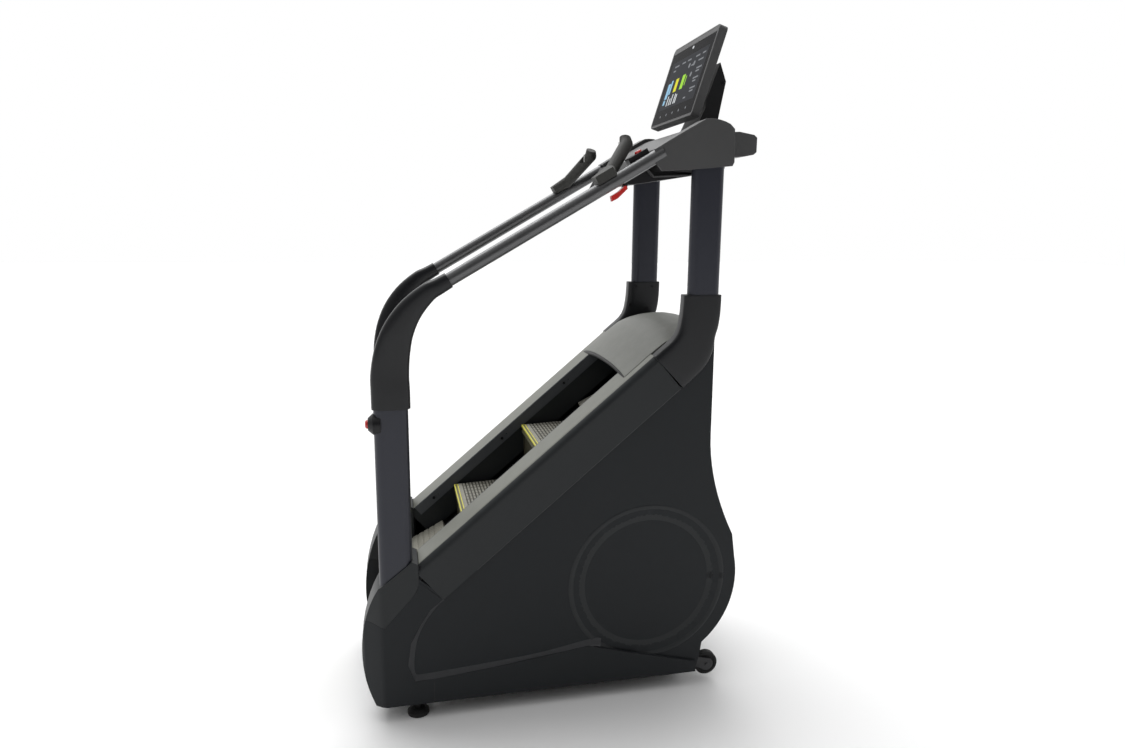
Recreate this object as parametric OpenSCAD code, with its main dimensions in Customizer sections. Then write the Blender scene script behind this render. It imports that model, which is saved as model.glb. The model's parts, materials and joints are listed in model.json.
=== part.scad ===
// Step-mill stair climber: an endless flight of seven steps between two side shells,
// with side rails, a console, a touch display and a belt-driven brake flywheel.
// Axes: +Y is the way the climber faces, +X the climber's right, +Z up.
// The floor is z = 0. The machine is a mirror image about x = 0 apart from the drive and buttons.

/* [Stairs] */
// Angle of the flight
stair_angle = 40.35; // [38:0.05:42]
// Distance from one step nose to the next along the flight
step_pitch = 324; // [316:1:326]
// Width of one tread
step_w = 362; // [340:1:362]
// Height of the line of noses above the line of shaft centres
nose_height = 208; // [200:1:212]
// How far the lowest step has gone past the straight run at rest
step_phase = 45; // [20:1:80]
// Slope of a tread up towards its back
tread_tilt = 3; // [0:0.5:5]
// Thickness of a tread
tread_t = 28; // [20:1:32]

/* [Body] */
// Half width over the side shells
body_half_w = 306; // [304:1:308]
// Half width of the gap between the side shells
gap_half_w = 186; // [185:1:190]
// Thickness of the moulded shells
wall = 4; // [3:0.5:5]
// Height of the shells' lower edge above the floor
skirt_z = 54; // [48:1:60]
// Depth of the side cover below the top of the stringer, square to the flight
stringer_depth = 136; // [120:1:150]
// Radius of the round back of the body, about the flywheel
rear_r = 306; // [290:1:310]
// Radius of the round dish in the side panel
dish_r = 260; // [230:1:265]
// Depth of the round dish
dish_depth = 9; // [4:0.5:10]

/* [Posts and rails] */
// Length of the oval post section
post_l = 100; // [90:1:104]
// Width of the oval post section
post_w = 44; // [40:1:46]
// Wall of the steel tubes
tube_wall = 3; // [2:0.5:4]
// Outer diameter of the handrail tube
rail_d = 39; // [34:1:42]
// Distance of the handrail from the middle of the machine
rail_x = 305; // [295:1:310]
// Slope of the handrail
rail_angle = 30.25; // [28:0.25:32]

/* [Console] */
// Half width of the console
console_half_w = 320; // [316:1:330]
// Width of the display
display_w = 392; // [340:1:420]
// Height of the display
display_h = 282; // [250:1:300]
// Thickness of the display
display_t = 28; // [24:1:34]
// Lean of the display back from upright
display_lean = 17.5; // [10:0.5:25]

/* [Drive] */
// Radius of the drive pulley on the upper shaft
drive_pulley_r = 110; // [90:1:120]
// Radius of the small pulley on the flywheel
small_pulley_r = 30; // [24:1:40]
// Radius of the brake flywheel
flywheel_r = 190; // [150:1:195]

/* [Hidden] */
$fn = 48;
origin_y = 25.06;                                 // centres the whole machine on the origin
flight = [cos(stair_angle), sin(stair_angle)];  // [y, z] up the flight
square_to = [-sin(stair_angle), cos(stair_angle)];
wrap_r = step_pitch / PI;                       // pitch radius: one pitch per half turn
run_len = 2.5 * step_pitch;                     // straight run between the shafts
lower_c = [-404, 262];                          // centre of the lower shaft
upper_c = lower_c + run_len * flight;           // centre of the upper shaft
fly_c = [257, 388];                             // centre of the flywheel and of the dish
strip_z = 914.7;                                // height of the stringer's top at y = 0
run_d = step_pitch * flight[0];                 // horizontal pitch of the steps
rise_d = step_pitch * flight[1];                // height of one step
phase_deg = step_phase / wrap_r * 180 / PI;
top_turn_deg = 90 - phase_deg;
entry_post_y = -539;
entry_post_x = 279.5;
console_post_y = 410;
console_post_x = 287;
post_top = 1720;
post_low = 1240;
sleeve_top = 1318;
fly_t = 14;
fly_x = 249;
chain_x = 196;
chain_w = 12;
plate_x = 211;
plate_t = 6;
belt_x = 237;
belt_w = 9;
foot_y = -484;
rear_foot_y = 402;
rear_foot_x = 170;
wheel_c = [482, 60];
wheel_r = 40;
console_slope = 22.5;

// ---------- helpers ----------

// Extrudes a [y, z] outline across the machine from x0 to x1.
module across(x0, x1) {
    translate([x0, 0, 0]) rotate([90, 0, 90]) linear_extrude(x1 - x0) children();
}

// Extrudes an [x, n] section along the flight, n counted from the stringer's top.
module along_flight(s0, s1) {
    translate([0, 0, strip_z]) rotate([stair_angle, 0, 0]) translate([0, s1, 0])
        rotate([90, 0, 0]) linear_extrude(s1 - s0) children();
}

// A bar of circular section across the machine at a [y, z] centre.
module bar(c, r, x0, x1) {
    translate([x0, c[0], c[1]]) rotate([0, 90, 0]) cylinder(r = r, h = x1 - x0);
}

module on_both_sides() {
    children();
    mirror([1, 0, 0]) children();
}

module on_left() {
    mirror([1, 0, 0]) children();
}

// Flat-sided oval, long side along the second axis.
module oval(l, w) {
    square([w, l - w], center = true);
    for (s = [-1, 1]) translate([0, s * (l - w) / 2]) circle(d = w);
}

// Points of an arc in the [y, z] plane.
function arc(c, r, a0, a1, n) = [for (i = [0:n]) c + r * [cos(a0 + (a1 - a0) * i / n), sin(a0 + (a1 - a0) * i / n)]];

// Height of the stringer's top and of its lower seam at a given y.
function strip_at(y) = strip_z + y * tan(stair_angle);
function seam_at(y) = strip_at(y) - stringer_depth / cos(stair_angle);

// Points of a smooth curve that leaves a towards b and arrives at c.
function bend(a, b, c, n) = [for (i = [0:n]) let (t = i / n) a * (1 - t) * (1 - t) + b * 2 * t * (1 - t) + c * t * t];

// ---------- outlines of the body in the [y, z] plane ----------

entry_nose = concat(
    [[-612, skirt_z]],
    bend([-624, 80], [-653, 150], [-650, 225], 6),
    bend([-649, 250], [-640, 362], [-594, 446], 6));

rear_back = concat(
    bend([432, skirt_z], [446, 84], fly_c + rear_r * [cos(-50), sin(-50)], 4),
    arc(fly_c, rear_r, -44, 12, 14),
    bend([545, 530], [455, 710], [454, 870], 10),
    [[453, 1192]]);

// Edge between the side panel and the sleeve of the console post.
sleeve_low = bend([356, 1036], [440, 1095], [452, 1192], 6);

// Outline of the side panel: it tucks under the stringer cover and meets the sleeve's edge.
module side_outline() {
    polygon(concat(
        [[432, skirt_z + wall], [-484, skirt_z + wall], [-484, 330], [-474, seam_at(-474) - 40],
         [-411, 405], [-360, seam_at(-360)], [-340, seam_at(-340) + 14], [330, seam_at(330) + 14]],
        [for (p = sleeve_low) p + [0.3, -0.3]],
        [for (i = [len(rear_back) - 2:-1:1]) rear_back[i]]));
}

// Plan of a side shell, with the front corner cut back.
module plan_outline(inset) {
    h = body_half_w - inset;
    polygon([[gap_half_w + inset, 700], [h, 700], [h, -578], [h - 6, -594], [h - 40, -640],
             [h - 70, -658], [gap_half_w + inset, -668]]);
}

// The upper edge of the lower skirt, rising gently to the back.
lip_edge = bend([-500, 130], [-250, 146], [60, 190], 8);

// ---------- frame ----------

module base_rail() {
    translate([236, -560, 58]) difference() {
        cube([50, 990, 40]);
        translate([tube_wall, -1, tube_wall]) cube([50 - 2 * tube_wall, 992, 40 - 2 * tube_wall]);
    }
}

// Upright with a tongue that carries the console post from inside.
module upright() {
    translate([266, console_post_y - 30, 98]) cube([15, 60, 1000]);
    translate([270, console_post_y - 30, 1040]) cube([16, 60, 260]);
}

module base_frame() {
    color("#2b2d31") {
        on_both_sides() {
            base_rail();
            upright();
            translate([262, foot_y, 40]) cylinder(r = 16, h = 18);
            translate([rear_foot_x, rear_foot_y, 40]) cylinder(r = 16, h = 18);
            translate([252, entry_post_y - 34, 98]) cube([48, 60, 10]);
            translate([236, -606, 58]) cube([26, 46, 40]);
            for (y = [-440, 60]) translate([plate_x + plate_t, y, 98]) cube([51, 50, 28]);
        }
        for (y = [-606, 60, 380]) translate([-236, y, 58]) cube([472, 44, 36]);
    }
}

// Inclined plate that carries both shafts on one side.
module shaft_plate() {
    difference() {
        across(plate_x, plate_x + plate_t) {
            polygon([lower_c + [-70, -60], lower_c + [-60, -164], lower_c + [60, -164],
                     lower_c + 200 * flight - 110 * square_to + [0, -20],
                     [60, 98], [180, 98], [310, 340], [310, 430], [262, 600],
                     upper_c + [80, -70], upper_c + [80, 60], upper_c + 20 * square_to + [0, 60],
                     lower_c + 110 * square_to + [-20, 0]]);
        }
        for (c = [lower_c, upper_c]) bar(c, 24, plate_x - 1, plate_x + plate_t + 1);
        for (s = [0.3, 0.5, 0.7]) bar(lower_c + run_len * s * flight, 48, plate_x - 1, plate_x + plate_t + 1);
    }
}

module shaft_plates() {
    color("#33363b") on_both_sides() shaft_plate();
}

// Round foot with its threaded stem and lock nut.
module levelling_foot(x, y) {
    translate([x, y, 0]) {
        cylinder(r = 34, h = 10);
        translate([0, 0, 10]) cylinder(r1 = 34, r2 = 14, h = 10);
        translate([0, 0, 20]) cylinder(r = 8, h = 20);
        translate([0, 0, 30]) cylinder(r = 14, h = 10, $fn = 6);
    }
}

module levelling_feet() {
    color("#1b1c1e") on_both_sides() {
        levelling_foot(262, foot_y);
        levelling_foot(rear_foot_x, rear_foot_y);
    }
}

module wheel_bracket() {
    color("#2b2d31") on_both_sides() {
        for (x = [243, 277]) across(x, x + 5) {
            polygon([[430.2, 62], [430.2, 96], wheel_c + [0, 22], wheel_c + [0, -22]]);
            translate(wheel_c) circle(r = 22);
        }
        translate([243, 430.2, 62]) cube([39, 5, 34]);
        bar(wheel_c, 6, 240, 285);
    }
}

module transport_wheel() {
    difference() {
        bar(wheel_c, wheel_r, 251, 274);
        bar(wheel_c, 6.05, 250, 275);
        for (x = [249, 271]) difference() {
            bar(wheel_c, wheel_r - 9, x, x + 5);
            bar(wheel_c, 14, x - 1, x + 6);
        }
    }
}

module transport_wheel_right() {
    color("#222326") transport_wheel();
}

module transport_wheel_left() {
    color("#222326") on_left() transport_wheel();
}

// ---------- shells ----------

// Recessed side panel with its round dish over the flywheel.
module side_panel() {
    x1 = body_half_w - 10;
    difference() {
        across(x1 - wall, x1) side_outline();
        bar(fly_c, dish_r, x1 - wall - 1, x1 + 1);
    }
    translate([0, fly_c[0], fly_c[1]]) rotate([0, 90, 0]) rotate_extrude()
        polygon([[0, x1 - dish_depth - wall], [212, x1 - dish_depth - wall], [dish_r - 6, x1 - wall],
                 [dish_r, x1 - wall], [dish_r, x1], [dish_r - 4, x1], [212 + 3, x1 - dish_depth],
                 [0, x1 - dish_depth]]);
}

module side_panel_right() {
    color("#26282b") side_panel();
}

module side_panel_left() {
    color("#26282b") on_left() side_panel();
}

// Section of the stringer cover: top, rounded outer edge and outer face.
module stringer_section(t) {
    h = body_half_w - t;
    r = 24 - t;
    translate([0, -t]) {
        translate([gap_half_w + 4 + t, -20]) square([h - r - gap_half_w - 4 - t, 20]);
        translate([h - r, -r]) circle(r = r);
        translate([h - r - 40, -stringer_depth]) square([r + 40, stringer_depth - r]);
        translate([gap_half_w + 4 + t, -stringer_depth]) square([60, stringer_depth - 10]);
    }
}

module stringer_cover() {
    intersection() {
        along_flight(-640, 336) difference() {
            stringer_section(0);
            intersection() {
                stringer_section(wall);
                translate([0, 8 - stringer_depth]) square([400, 200]);
            }
            translate([0, -stringer_depth - 5]) square([body_half_w - 9.7, 30]);
        }
        translate([0, -472, 0]) cube([400, 1000, 1300]);
    }
}

module stringer_cover_right() {
    color("#2e3134") stringer_cover();
}

module stringer_cover_left() {
    color("#2e3134") on_left() stringer_cover();
}

// Solid of the entry end, or its hollow when inset.
module entry_solid(inset) {
    intersection() {
        translate([0, 0, -inset]) linear_extrude(700) plan_outline(inset);
        across(gap_half_w, body_half_w) translate([inset, -inset]) polygon(concat(
            entry_nose, [[-492, 526], [-474, 517], [-472, 513], [-472, 470], [-411, 404],
            [-300, 404], [-300, skirt_z - 20], [-600, skirt_z - 20]]));
    }
}

module entry_shell() {
    difference() {
        entry_solid(0);
        entry_solid(wall);
        translate([gap_half_w - 1, -472, 0]) cube([108, 800, 700]);
        bar(lower_c, wrap_r + 20, gap_half_w - 1, gap_half_w + wall + 1);
        translate([0, -700, -1]) cube([400, 1400, skirt_z + 1]);
    }
}

// Lower skirt of a side shell with the rounded entry nose.
module side_skirt() {
    difference() {
        intersection() {
            entry_shell();
            across(gap_half_w - 1, body_half_w + 1) skirt_area();
        }
        across(gap_half_w - 1, body_half_w + 1) corner_area(0);
        translate([gap_half_w - 1, -608, skirt_z - 1]) cube([wall + 2, 50, 44]);
    }
    across(body_half_w - 9.7, body_half_w) intersection() {
        skirt_area();
        translate([-482, 0]) square([1000, 600]);
    }
}

module side_skirt_right() {
    color("#26282b") side_skirt();
}

module side_skirt_left() {
    color("#26282b") on_left() side_skirt();
}

// Side-view area of the skirt: the nose and the low band to the back.
module skirt_area() {
    polygon(concat(
        [[432, skirt_z], [-700, skirt_z], [-700, 600], [-560, 420], [-482, 424], [-473, 451],
         [-472, 460], [-411, 404.5], [-446, 372], [-474, 330], [-500, 270], [-512, 190], [-492, 133]],
        [for (p = lip_edge) if (p[0] > -480) p],
        [[200, 150], [432, 90]]));
}

// Side-view area of the cover over the foot of the entry post.
module corner_area(gap) {
    polygon([[-700, 334], [-621, 333 + gap], [-578, 318 + gap], [-486 - gap, 420], [-473 - gap, 451],
             [-472 - gap, 560], [-700, 700]]);
}

// Cover over the foot of the entry post, open at its top for the post.
module corner_cover() {
    difference() {
        intersection() {
            entry_shell();
            across(gap_half_w - 1, body_half_w + 1) corner_area(0.4);
        }
        translate([entry_post_x, entry_post_y, 300]) linear_extrude(400) oval(post_l + 0.8, post_w + 0.8);
    }
}

module corner_cover_right() {
    color("#2a2c2f") corner_cover();
}

module corner_cover_left() {
    color("#2a2c2f") on_left() corner_cover();
}

// Dark guard between the treads and the stringer cover.
module inner_guard() {
    difference() {
        along_flight(-615, 330) translate([gap_half_w, -36]) square([3.5, 35.5]);
        for (s = [-520, -190, 110]) translate([0, s * flight[0] - 20 * square_to[0],
            strip_z + s * flight[1] - 20 * square_to[1]]) rotate([0, 90, 0]) cylinder(r = 2.5, h = 400);
    }
}

module inner_guard_right() {
    color("#35383c") inner_guard();
}

module inner_guard_left() {
    color("#35383c") on_left() inner_guard();
}

// Curved panel below the lowest step, concentric with its sweep.
module kick_panel() {
    color("#232427") across(-gap_half_w, gap_half_w) difference() {
        translate(lower_c) circle(r = 222 + wall, $fn = 96);
        translate(lower_c) circle(r = 222, $fn = 96);
        translate([-800, 215]) square([900, 600]);
        translate([-480, -200]) square([700, 800]);
    }
}

// Crowned cover over the top of the flight.
hood_top = concat(
    bend([172, 1066], [232, 1170], [300, 1216], 8),
    bend([316, 1224], [400, 1236], [448, 1176], 8));
crown_r = 730;

// Solid of the hood, or its hollow when inset.
module hood_solid(inset) {
    h = 261.5 - inset;
    intersection() {
        across(-h, h) polygon(concat(
            [for (p = hood_top) p + [inset * (p[0] < 320 ? 0.7 : -1), -inset]],
            [[448 - inset, 1042 - 2 * inset], [172 + inset, 1042 - 2 * inset]]));
        translate([0, 0, 1226 - crown_r]) rotate([-90, 0, 0]) cylinder(r = crown_r - inset, h = 700);
    }
}

module top_hood() {
    color("#6e7073") difference() {
        hood_solid(0);
        hood_solid(wall);
        on_both_sides() along_flight(-700, 337) translate([gap_half_w - 0.5, -400]) square([200, 400.3]);
        translate([-300, 300, 1000]) cube([600, 400, 60]);
    }
}

module rear_cover() {
    h = body_half_w - 14.5;
    color("#26282b") difference() {
        across(-h, h) difference() {
            polygon(concat(rear_back, [[300, 1150], [300, skirt_z + wall]]));
            translate([-wall, 0]) polygon(concat(rear_back, [[200, 1200], [200, skirt_z - 50]]));
            square([431, 1300]);
        }
        on_both_sides() translate([240, 400, 40]) cube([46, 80, 62]);
        on_both_sides() translate([261.5, 400, 1165]) cube([60, 100, 60]);
        on_both_sides() translate([261.5, 400, 1030]) cube([60, 46, 180]);
        translate([-300, 400, 1176]) cube([600, 100, 60]);
    }
}

// ---------- posts, sleeves and rails ----------

module post(z0, z1) {
    difference() {
        linear_extrude(z1 - z0) oval(post_l, post_w);
        translate([0, 0, -1]) linear_extrude(z1 - z0 + 2) oval(post_l - 2 * tube_wall, post_w - 2 * tube_wall);
    }
}

module entry_post_right() {
    color("#3a3c48") translate([entry_post_x, entry_post_y, 108]) post(108, 1100);
}

module entry_post_left() {
    color("#3a3c48") on_left() translate([entry_post_x, entry_post_y, 108]) post(108, 1100);
}

module console_post_right() {
    color("#3a3c48") translate([console_post_x, console_post_y, post_low]) post(post_low, post_top);
}

module console_post_left() {
    color("#3a3c48") on_left() translate([console_post_x, console_post_y, post_low]) post(post_low, post_top);
}

// Height of the handrail's centreline at a given y.
function rail_at(y) = 1582 + y * tan(rail_angle);

rail_low = -410;
rail_high = 262;

module handrail() {
    len = (rail_high - rail_low) / cos(rail_angle);
    translate([rail_x, rail_low, rail_at(rail_low)]) rotate([rail_angle - 90, 0, 0]) difference() {
        cylinder(d = rail_d, h = len);
        translate([0, 0, -1]) cylinder(d = rail_d - 2 * tube_wall, h = len + 2);
    }
}

module handrail_right() {
    color("#4a4c50") handrail();
}

module handrail_left() {
    color("#4a4c50") on_left() handrail();
}

// Stations of the moulded sleeve: [x, y, z, tilt, length, width].
sleeve_ring = [
    [282, -538, 996, 0, 112, 54],
    [283, -538, 1100, -2, 110, 54],
    [288, -529, 1165, -11, 102, 51],
    [295, -509, 1228, -25, 88, 48],
    [300, -474, 1286, -40, 70, 46],
    [304, -426, 1334, -54, 55, 45],
    [305, -366, rail_at(-366), rail_angle - 90, 45, 45]
];

module sleeve_slice(s) {
    translate([s[0], s[1], s[2]]) rotate([s[3], 0, 0]) linear_extrude(1) oval(s[4], s[5], $fn = 32);
}

module handrail_sleeve() {
    difference() {
        for (i = [0:len(sleeve_ring) - 2]) hull() {
            sleeve_slice(sleeve_ring[i]);
            sleeve_slice(sleeve_ring[i + 1]);
        }
        translate([entry_post_x, entry_post_y, 900]) linear_extrude(200.3) oval(post_l + 0.6, post_w + 0.6);
        translate([rail_x, rail_low, rail_at(rail_low)]) rotate([rail_angle - 90, 0, 0])
            translate([0, 0, -0.3]) cylinder(d = rail_d + 0.6, h = 80);
    }
}

module handrail_sleeve_right() {
    color("#1f2124") handrail_sleeve();
}

module handrail_sleeve_left() {
    color("#1f2124") on_left() handrail_sleeve();
}

// Sleeve that carries the side shell up around the console post.
sleeve_front = bend([300, strip_at(300)], [336, 1210], [344, sleeve_top], 8);

module post_sleeve() {
    difference() {
        across(console_post_x - 25, console_post_x + 25) polygon(concat(
            [[256.5, strip_at(256.5)]], sleeve_front,
            [[466, sleeve_top], [465, 1250], [459, 1215]],
            [for (i = [len(sleeve_low) - 1:-1:0]) sleeve_low[i]]));
        translate([console_post_x, console_post_y, post_low - 0.3]) linear_extrude(700)
            oval(post_l + 0.6, post_w + 0.6);
        translate([265.7, console_post_y - 30.3, 900]) cube([15.6, 60.6, 198.3]);
        translate([269.7, console_post_y - 30.3, 1000]) cube([16.6, 60.6, 300.3]);
    }
}

module post_sleeve_right() {
    color("#222427") post_sleeve();
}

module post_sleeve_left() {
    color("#222427") on_left() post_sleeve();
}

// ---------- console ----------

// Side outline of the console's wing.
wing_top = concat(
    bend([232, 1742], [300, 1784], [372, 1824], 3),
    bend([386, 1832], [424, 1838], [462, 1820], 5),
    [[477, 1806], [480, 1712], [474, 1700]]);

module console_section(t) {
    polygon(concat([for (p = wing_top) p - [0, t]], [[347, 1687 + t], [255, 1681 + t], [236, 1700 + t]]));
}

module console_shell() {
    color("#5c5e61") difference() {
        union() {
            on_both_sides() across(console_half_w - 70, console_half_w) console_section(0);
            across(-console_half_w + 70, console_half_w - 70) translate([0, -14]) console_section(0);
        }
        across(-console_half_w + wall, console_half_w - wall) translate([0, -14]) console_section(wall);
        on_both_sides() across(console_half_w - 66, console_half_w - wall) console_section(wall);
        on_both_sides() {
            translate([console_post_x, console_post_y, 1600]) linear_extrude(post_top - 1599)
                oval(post_l + 1, post_w + 1);
            translate([rail_x, rail_low, rail_at(rail_low)]) rotate([rail_angle - 90, 0, 0])
                cylinder(d = rail_d + 0.6, h = (rail_high - rail_low) / cos(rail_angle) + 1);
        }
        translate([-230, 180, 1600]) cube([460, 320, 86]);
    }
}

// Dark tray under the console.
module console_underside() {
    color("#1d1e21") difference() {
        across(-228, 228) polygon([[170, 1644], [206, 1648], [320, 1666], [394, 1677], [394, 1685.7],
                                   [236, 1685.7], [231, 1724], [214, 1724]]);
        across(-224, 224) polygon([[206, 1652], [384, 1680], [384, 1700], [236, 1700], [233, 1681.7],
                                   [228, 1681.7], [225, 1700], [218, 1700]]);
    }
}

module rear_box_outline() {
    polygon([[480.5, 1730], [560, 1738], [590, 1744], [600, 1752], [600, 1796], [590, 1804], [540, 1812],
             [480.5, 1808]]);
}

module console_rear_box() {
    color("#2c2e31") difference() {
        across(-215, 215) rear_box_outline();
        across(-211, 211) polygon([[470, 1734], [558, 1742], [596, 1756], [596, 1792], [540, 1808],
                                   [470, 1804]]);
    }
}

// Places children in the display's own frame: x across, y up the glass, z out of its back.
display_foot = [0, 386, 1859];

module on_display() {
    translate(display_foot) rotate([90 - display_lean, 0, 0]) children();
}

module rounded_plate(w, h, r, t) {
    linear_extrude(t) translate([-w / 2, 0]) union() {
        translate([r, 0]) square([w - 2 * r, h]);
        translate([0, r]) square([w, h - 2 * r]);
        for (x = [r, w - r]) for (y = [r, h - r]) translate([x, y]) circle(r = r);
    }
}

module display_housing() {
    color("#2f3134") difference() {
        on_display() mirror([0, 0, 1]) rounded_plate(display_w, display_h, 16, display_t);
        on_display() translate([0, 6, 0]) mirror([0, 0, 1]) translate([0, 0, -1])
            rounded_plate(display_w - 12, display_h - 12, 12, 4.2);
        on_display() translate([0, 12, -24]) linear_extrude(20) translate([-display_w / 2 + 12, 0])
            square([display_w - 24, display_h - 24]);
    }
}

module display_glass() {
    color("#08090b") on_display() translate([0, 6.3, -3.1])
        rounded_plate(display_w - 12.6, display_h - 12.6, 11.7, 2.6);
}

// Bracket that holds the display on the console.
module display_bracket() {
    color("#26272a") difference() {
        across(-75, 75) polygon([[446, 1822], [482, 1900], [482, 1922], [497, 1960], [526, 2040], [548, 1982],
                                 [528, 1876], [516, 1812], [470, 1798]]);
        on_display() mirror([0, 0, 1]) translate([0, -60, -1])
            rounded_plate(display_w, display_h + 60, 4, display_t + 1.3);
        across(-console_half_w, console_half_w) translate([0, -14 + 0.2]) console_section(0);
        across(-80, 80) translate([0, 0.2]) rear_box_outline();
        translate([-80, 474, 1700]) cube([160, 6.5, 112]);
        bar([537, 1978], 3, 70, 76);
    }
}

// ---------- hand controls ----------

// Places children on the rail at a given y, z along the rail.
module on_rail(y) {
    translate([rail_x, y, rail_at(y)]) rotate([rail_angle, 0, 0]) children();
}

grip_foot = [rail_x - 4, 92, 1652];
grip_tip = [214, 176, 1764];

// Moulded grip that rises inwards from the rail.
module grip() {
    difference() {
        union() {
            hull() {
                translate(grip_foot) rotate([rail_angle, 0, 0]) scale_block(46, 60, 26);
                translate(grip_foot + [-16, 16, 26]) sphere(r = 19, $fn = 24);
            }
            hull() {
                translate(grip_foot + [-14, 14, 22]) sphere(r = 19, $fn = 24);
                translate(grip_tip) sphere(r = 20, $fn = 24);
            }
            hull() {
                translate(grip_tip) sphere(r = 20, $fn = 24);
                translate(grip_tip + [-6, -2, 12]) rotate([-8, -26, 0]) cylinder(r = 17, h = 8, $fn = 24);
            }
        }
        translate([rail_x, rail_low, rail_at(rail_low)]) rotate([rail_angle - 90, 0, 0])
            cylinder(d = rail_d + 0.4, h = 820);
        translate(grip_tip + [4, -30, -8]) cube([17, 33, 30], center = true);
    }
}

module scale_block(x, y, z) {
    translate([-x / 2, -y / 2, 0]) cube([x, y, z]);
}

module grip_right() {
    color("#1a1b1d") grip();
}

module grip_left() {
    color("#1a1b1d") on_left() grip();
}

// Rocker switch in the user's face of a grip.
module rocker() {
    translate(grip_tip + [4, -19, -8]) cube([15, 9, 26], center = true);
    translate([grip_tip[0] + 4, 0, 0]) bar([grip_tip[1] - 17, grip_tip[2] - 8], 1.5, -8, 8);
}

module rocker_right() {
    color("#8c8e90") rocker();
}

module rocker_left() {
    color("#8c8e90") on_left() rocker();
}

pod_y = 208;
lever_pivot = [152, 1634];

// Switch pod on the inner top side of the right rail.
module control_pod() {
    color("#232427") difference() {
        union() {
            on_rail(pod_y) translate([-44, -38, 2]) cube([36, 66, 32]);
            across(277, 284) polygon([lever_pivot + [-8, -7], lever_pivot + [8, -7], lever_pivot + [18, 58],
                                      lever_pivot + [2, 52]]);
        }
        translate([rail_x, rail_low, rail_at(rail_low)]) rotate([rail_angle - 90, 0, 0])
            cylinder(d = rail_d + 0.4, h = 820);
        on_rail(pod_y) translate([-26, 4, 18]) cylinder(r = 11.4, h = 40);
        bar(lever_pivot, 4.05, 270, 290);
    }
}

module stop_button() {
    color("#c8322c") on_rail(pod_y) translate([-26, 4, 22.5]) {
        cylinder(r = 11, h = 15);
        translate([0, 0, 15]) cylinder(r1 = 11, r2 = 8, h = 3);
    }
}

// Red brake lever under the right rail.
module brake_lever() {
    color("#c8322c") {
        bar(lever_pivot, 4, 277.5, 286);
        across(285.5, 303) polygon([for (p = [[5, -4], [2, 4], [-4, 4], [-22, -13], [-44, -26], [-41, -41],
                                              [-24, -32]]) lever_pivot + p]);
    }
}

stop_z = 952;

// Places children on the front of the right entry post, z pointing towards the climber's back.
module on_stop() {
    translate([entry_post_x, entry_post_y - post_l / 2, stop_z]) rotate([90, 0, 0]) children();
}

module post_stop_housing() {
    color("#1c1d1f") difference() {
        on_stop() {
            translate([0, 0, -20]) cylinder(r = 31, h = 22);
            translate([0, 0, 2]) cylinder(r1 = 31, r2 = 18, h = 14);
        }
        translate([entry_post_x, entry_post_y, 800]) linear_extrude(300) oval(post_l + 0.2, post_w + 0.2);
        on_stop() translate([0, 0, 3]) cylinder(r = 13.4, h = 40);
    }
}

module post_stop_button() {
    color("#c8322c") on_stop() translate([0, 0, 7]) {
        cylinder(r = 13, h = 13);
        translate([0, 0, 13]) cylinder(r1 = 13, r2 = 9, h = 4);
    }
}

// ---------- steps ----------

// A step's parts in its own frame: nose edge at the origin, tread to +Y, riser down.
tread_l = run_d + 5;

module tread_piece() {
    difference() {
        rotate([tread_tilt, 0, 0]) translate([-step_w / 2 + 5, 9, -tread_t]) cube([step_w - 10, tread_l - 9, tread_t]);
        for (i = [1:9]) rotate([tread_tilt, 0, 0]) translate([-step_w / 2, 16 + i * 22, -2])
            cube([step_w, 6, 3]);
    }
}

module nose_piece() {
    rotate([tread_tilt, 0, 0]) translate([-step_w / 2 + 5, 0, -tread_t]) difference() {
        cube([step_w - 10, 9, tread_t]);
        translate([-1, -1, 8]) cube([step_w, 3, 6]);
    }
}

// Riser with its two end cheeks and axle stubs.
module carrier_piece() {
    axle_c = (wrap_r - nose_height) * square_to;
    translate([-step_w / 2 + 5, 12, -rise_d + 18]) cube([step_w - 10, 9, rise_d - 18 - tread_t - 1]);
    for (s = [-1, 1]) {
        translate([s * (step_w / 2 - 2.5), 0, 0]) across(-2.5, 2.5)
            polygon([[6, -6], [tread_l - 14, 4], [tread_l - 14, -12], [30, -rise_d + 24], [13, -rise_d + 24]]);
        if (s > 0) bar(axle_c, 8, step_w / 2, chain_x - 1.5);
        else bar(axle_c, 8, -chain_x + 1.5, -step_w / 2);
    }
}

// Moves a step from its own frame to the nose of step k on the upper run.
module on_run(k) {
    c = lower_c + (k * step_pitch - step_phase) * flight + nose_height * square_to;
    translate([0, c[0], c[1]]) children();
}

// Turns a step that hangs at a shaft by an angle about it.
module on_turn(centre, angle) {
    translate([0, centre[0], centre[1]]) rotate([angle, 0, 0])
        translate([0, nose_height * square_to[0], nose_height * square_to[1]]) children();
}

// Moves a step to place k of the return run, counted down from the upper shaft.
module on_return(k) {
    c = upper_c - (k * step_pitch - step_phase) * flight - nose_height * square_to;
    translate([0, c[0], c[1]]) rotate([180, 0, 0]) children();
}

module treads_upper_run() {
    color("#85847a") for (k = [1, 2]) on_run(k) tread_piece();
}

module carriers_upper_run() {
    color("#17181a") for (k = [1, 2]) on_run(k) carrier_piece();
}

module noses_upper_run() {
    color("#c9c540") for (k = [1, 2]) on_run(k) nose_piece();
}

module whole_step() {
    tread_piece();
    nose_piece();
    carrier_piece();
}

module steps_return_run() {
    color("#5f5e57") for (k = [0.5, 1.5, 2.5]) on_return(k) whole_step();
}

module step_top_turn() {
    color("#5f5e57") on_turn(upper_c, -top_turn_deg) whole_step();
}

module tread_bottom_turn() {
    color("#85847a") on_turn(lower_c, phase_deg) tread_piece();
}

module carrier_bottom_turn() {
    color("#17181a") on_turn(lower_c, phase_deg) carrier_piece();
}

module nose_bottom_turn() {
    color("#c9c540") on_turn(lower_c, phase_deg) nose_piece();
}

// ---------- drive ----------

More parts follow.
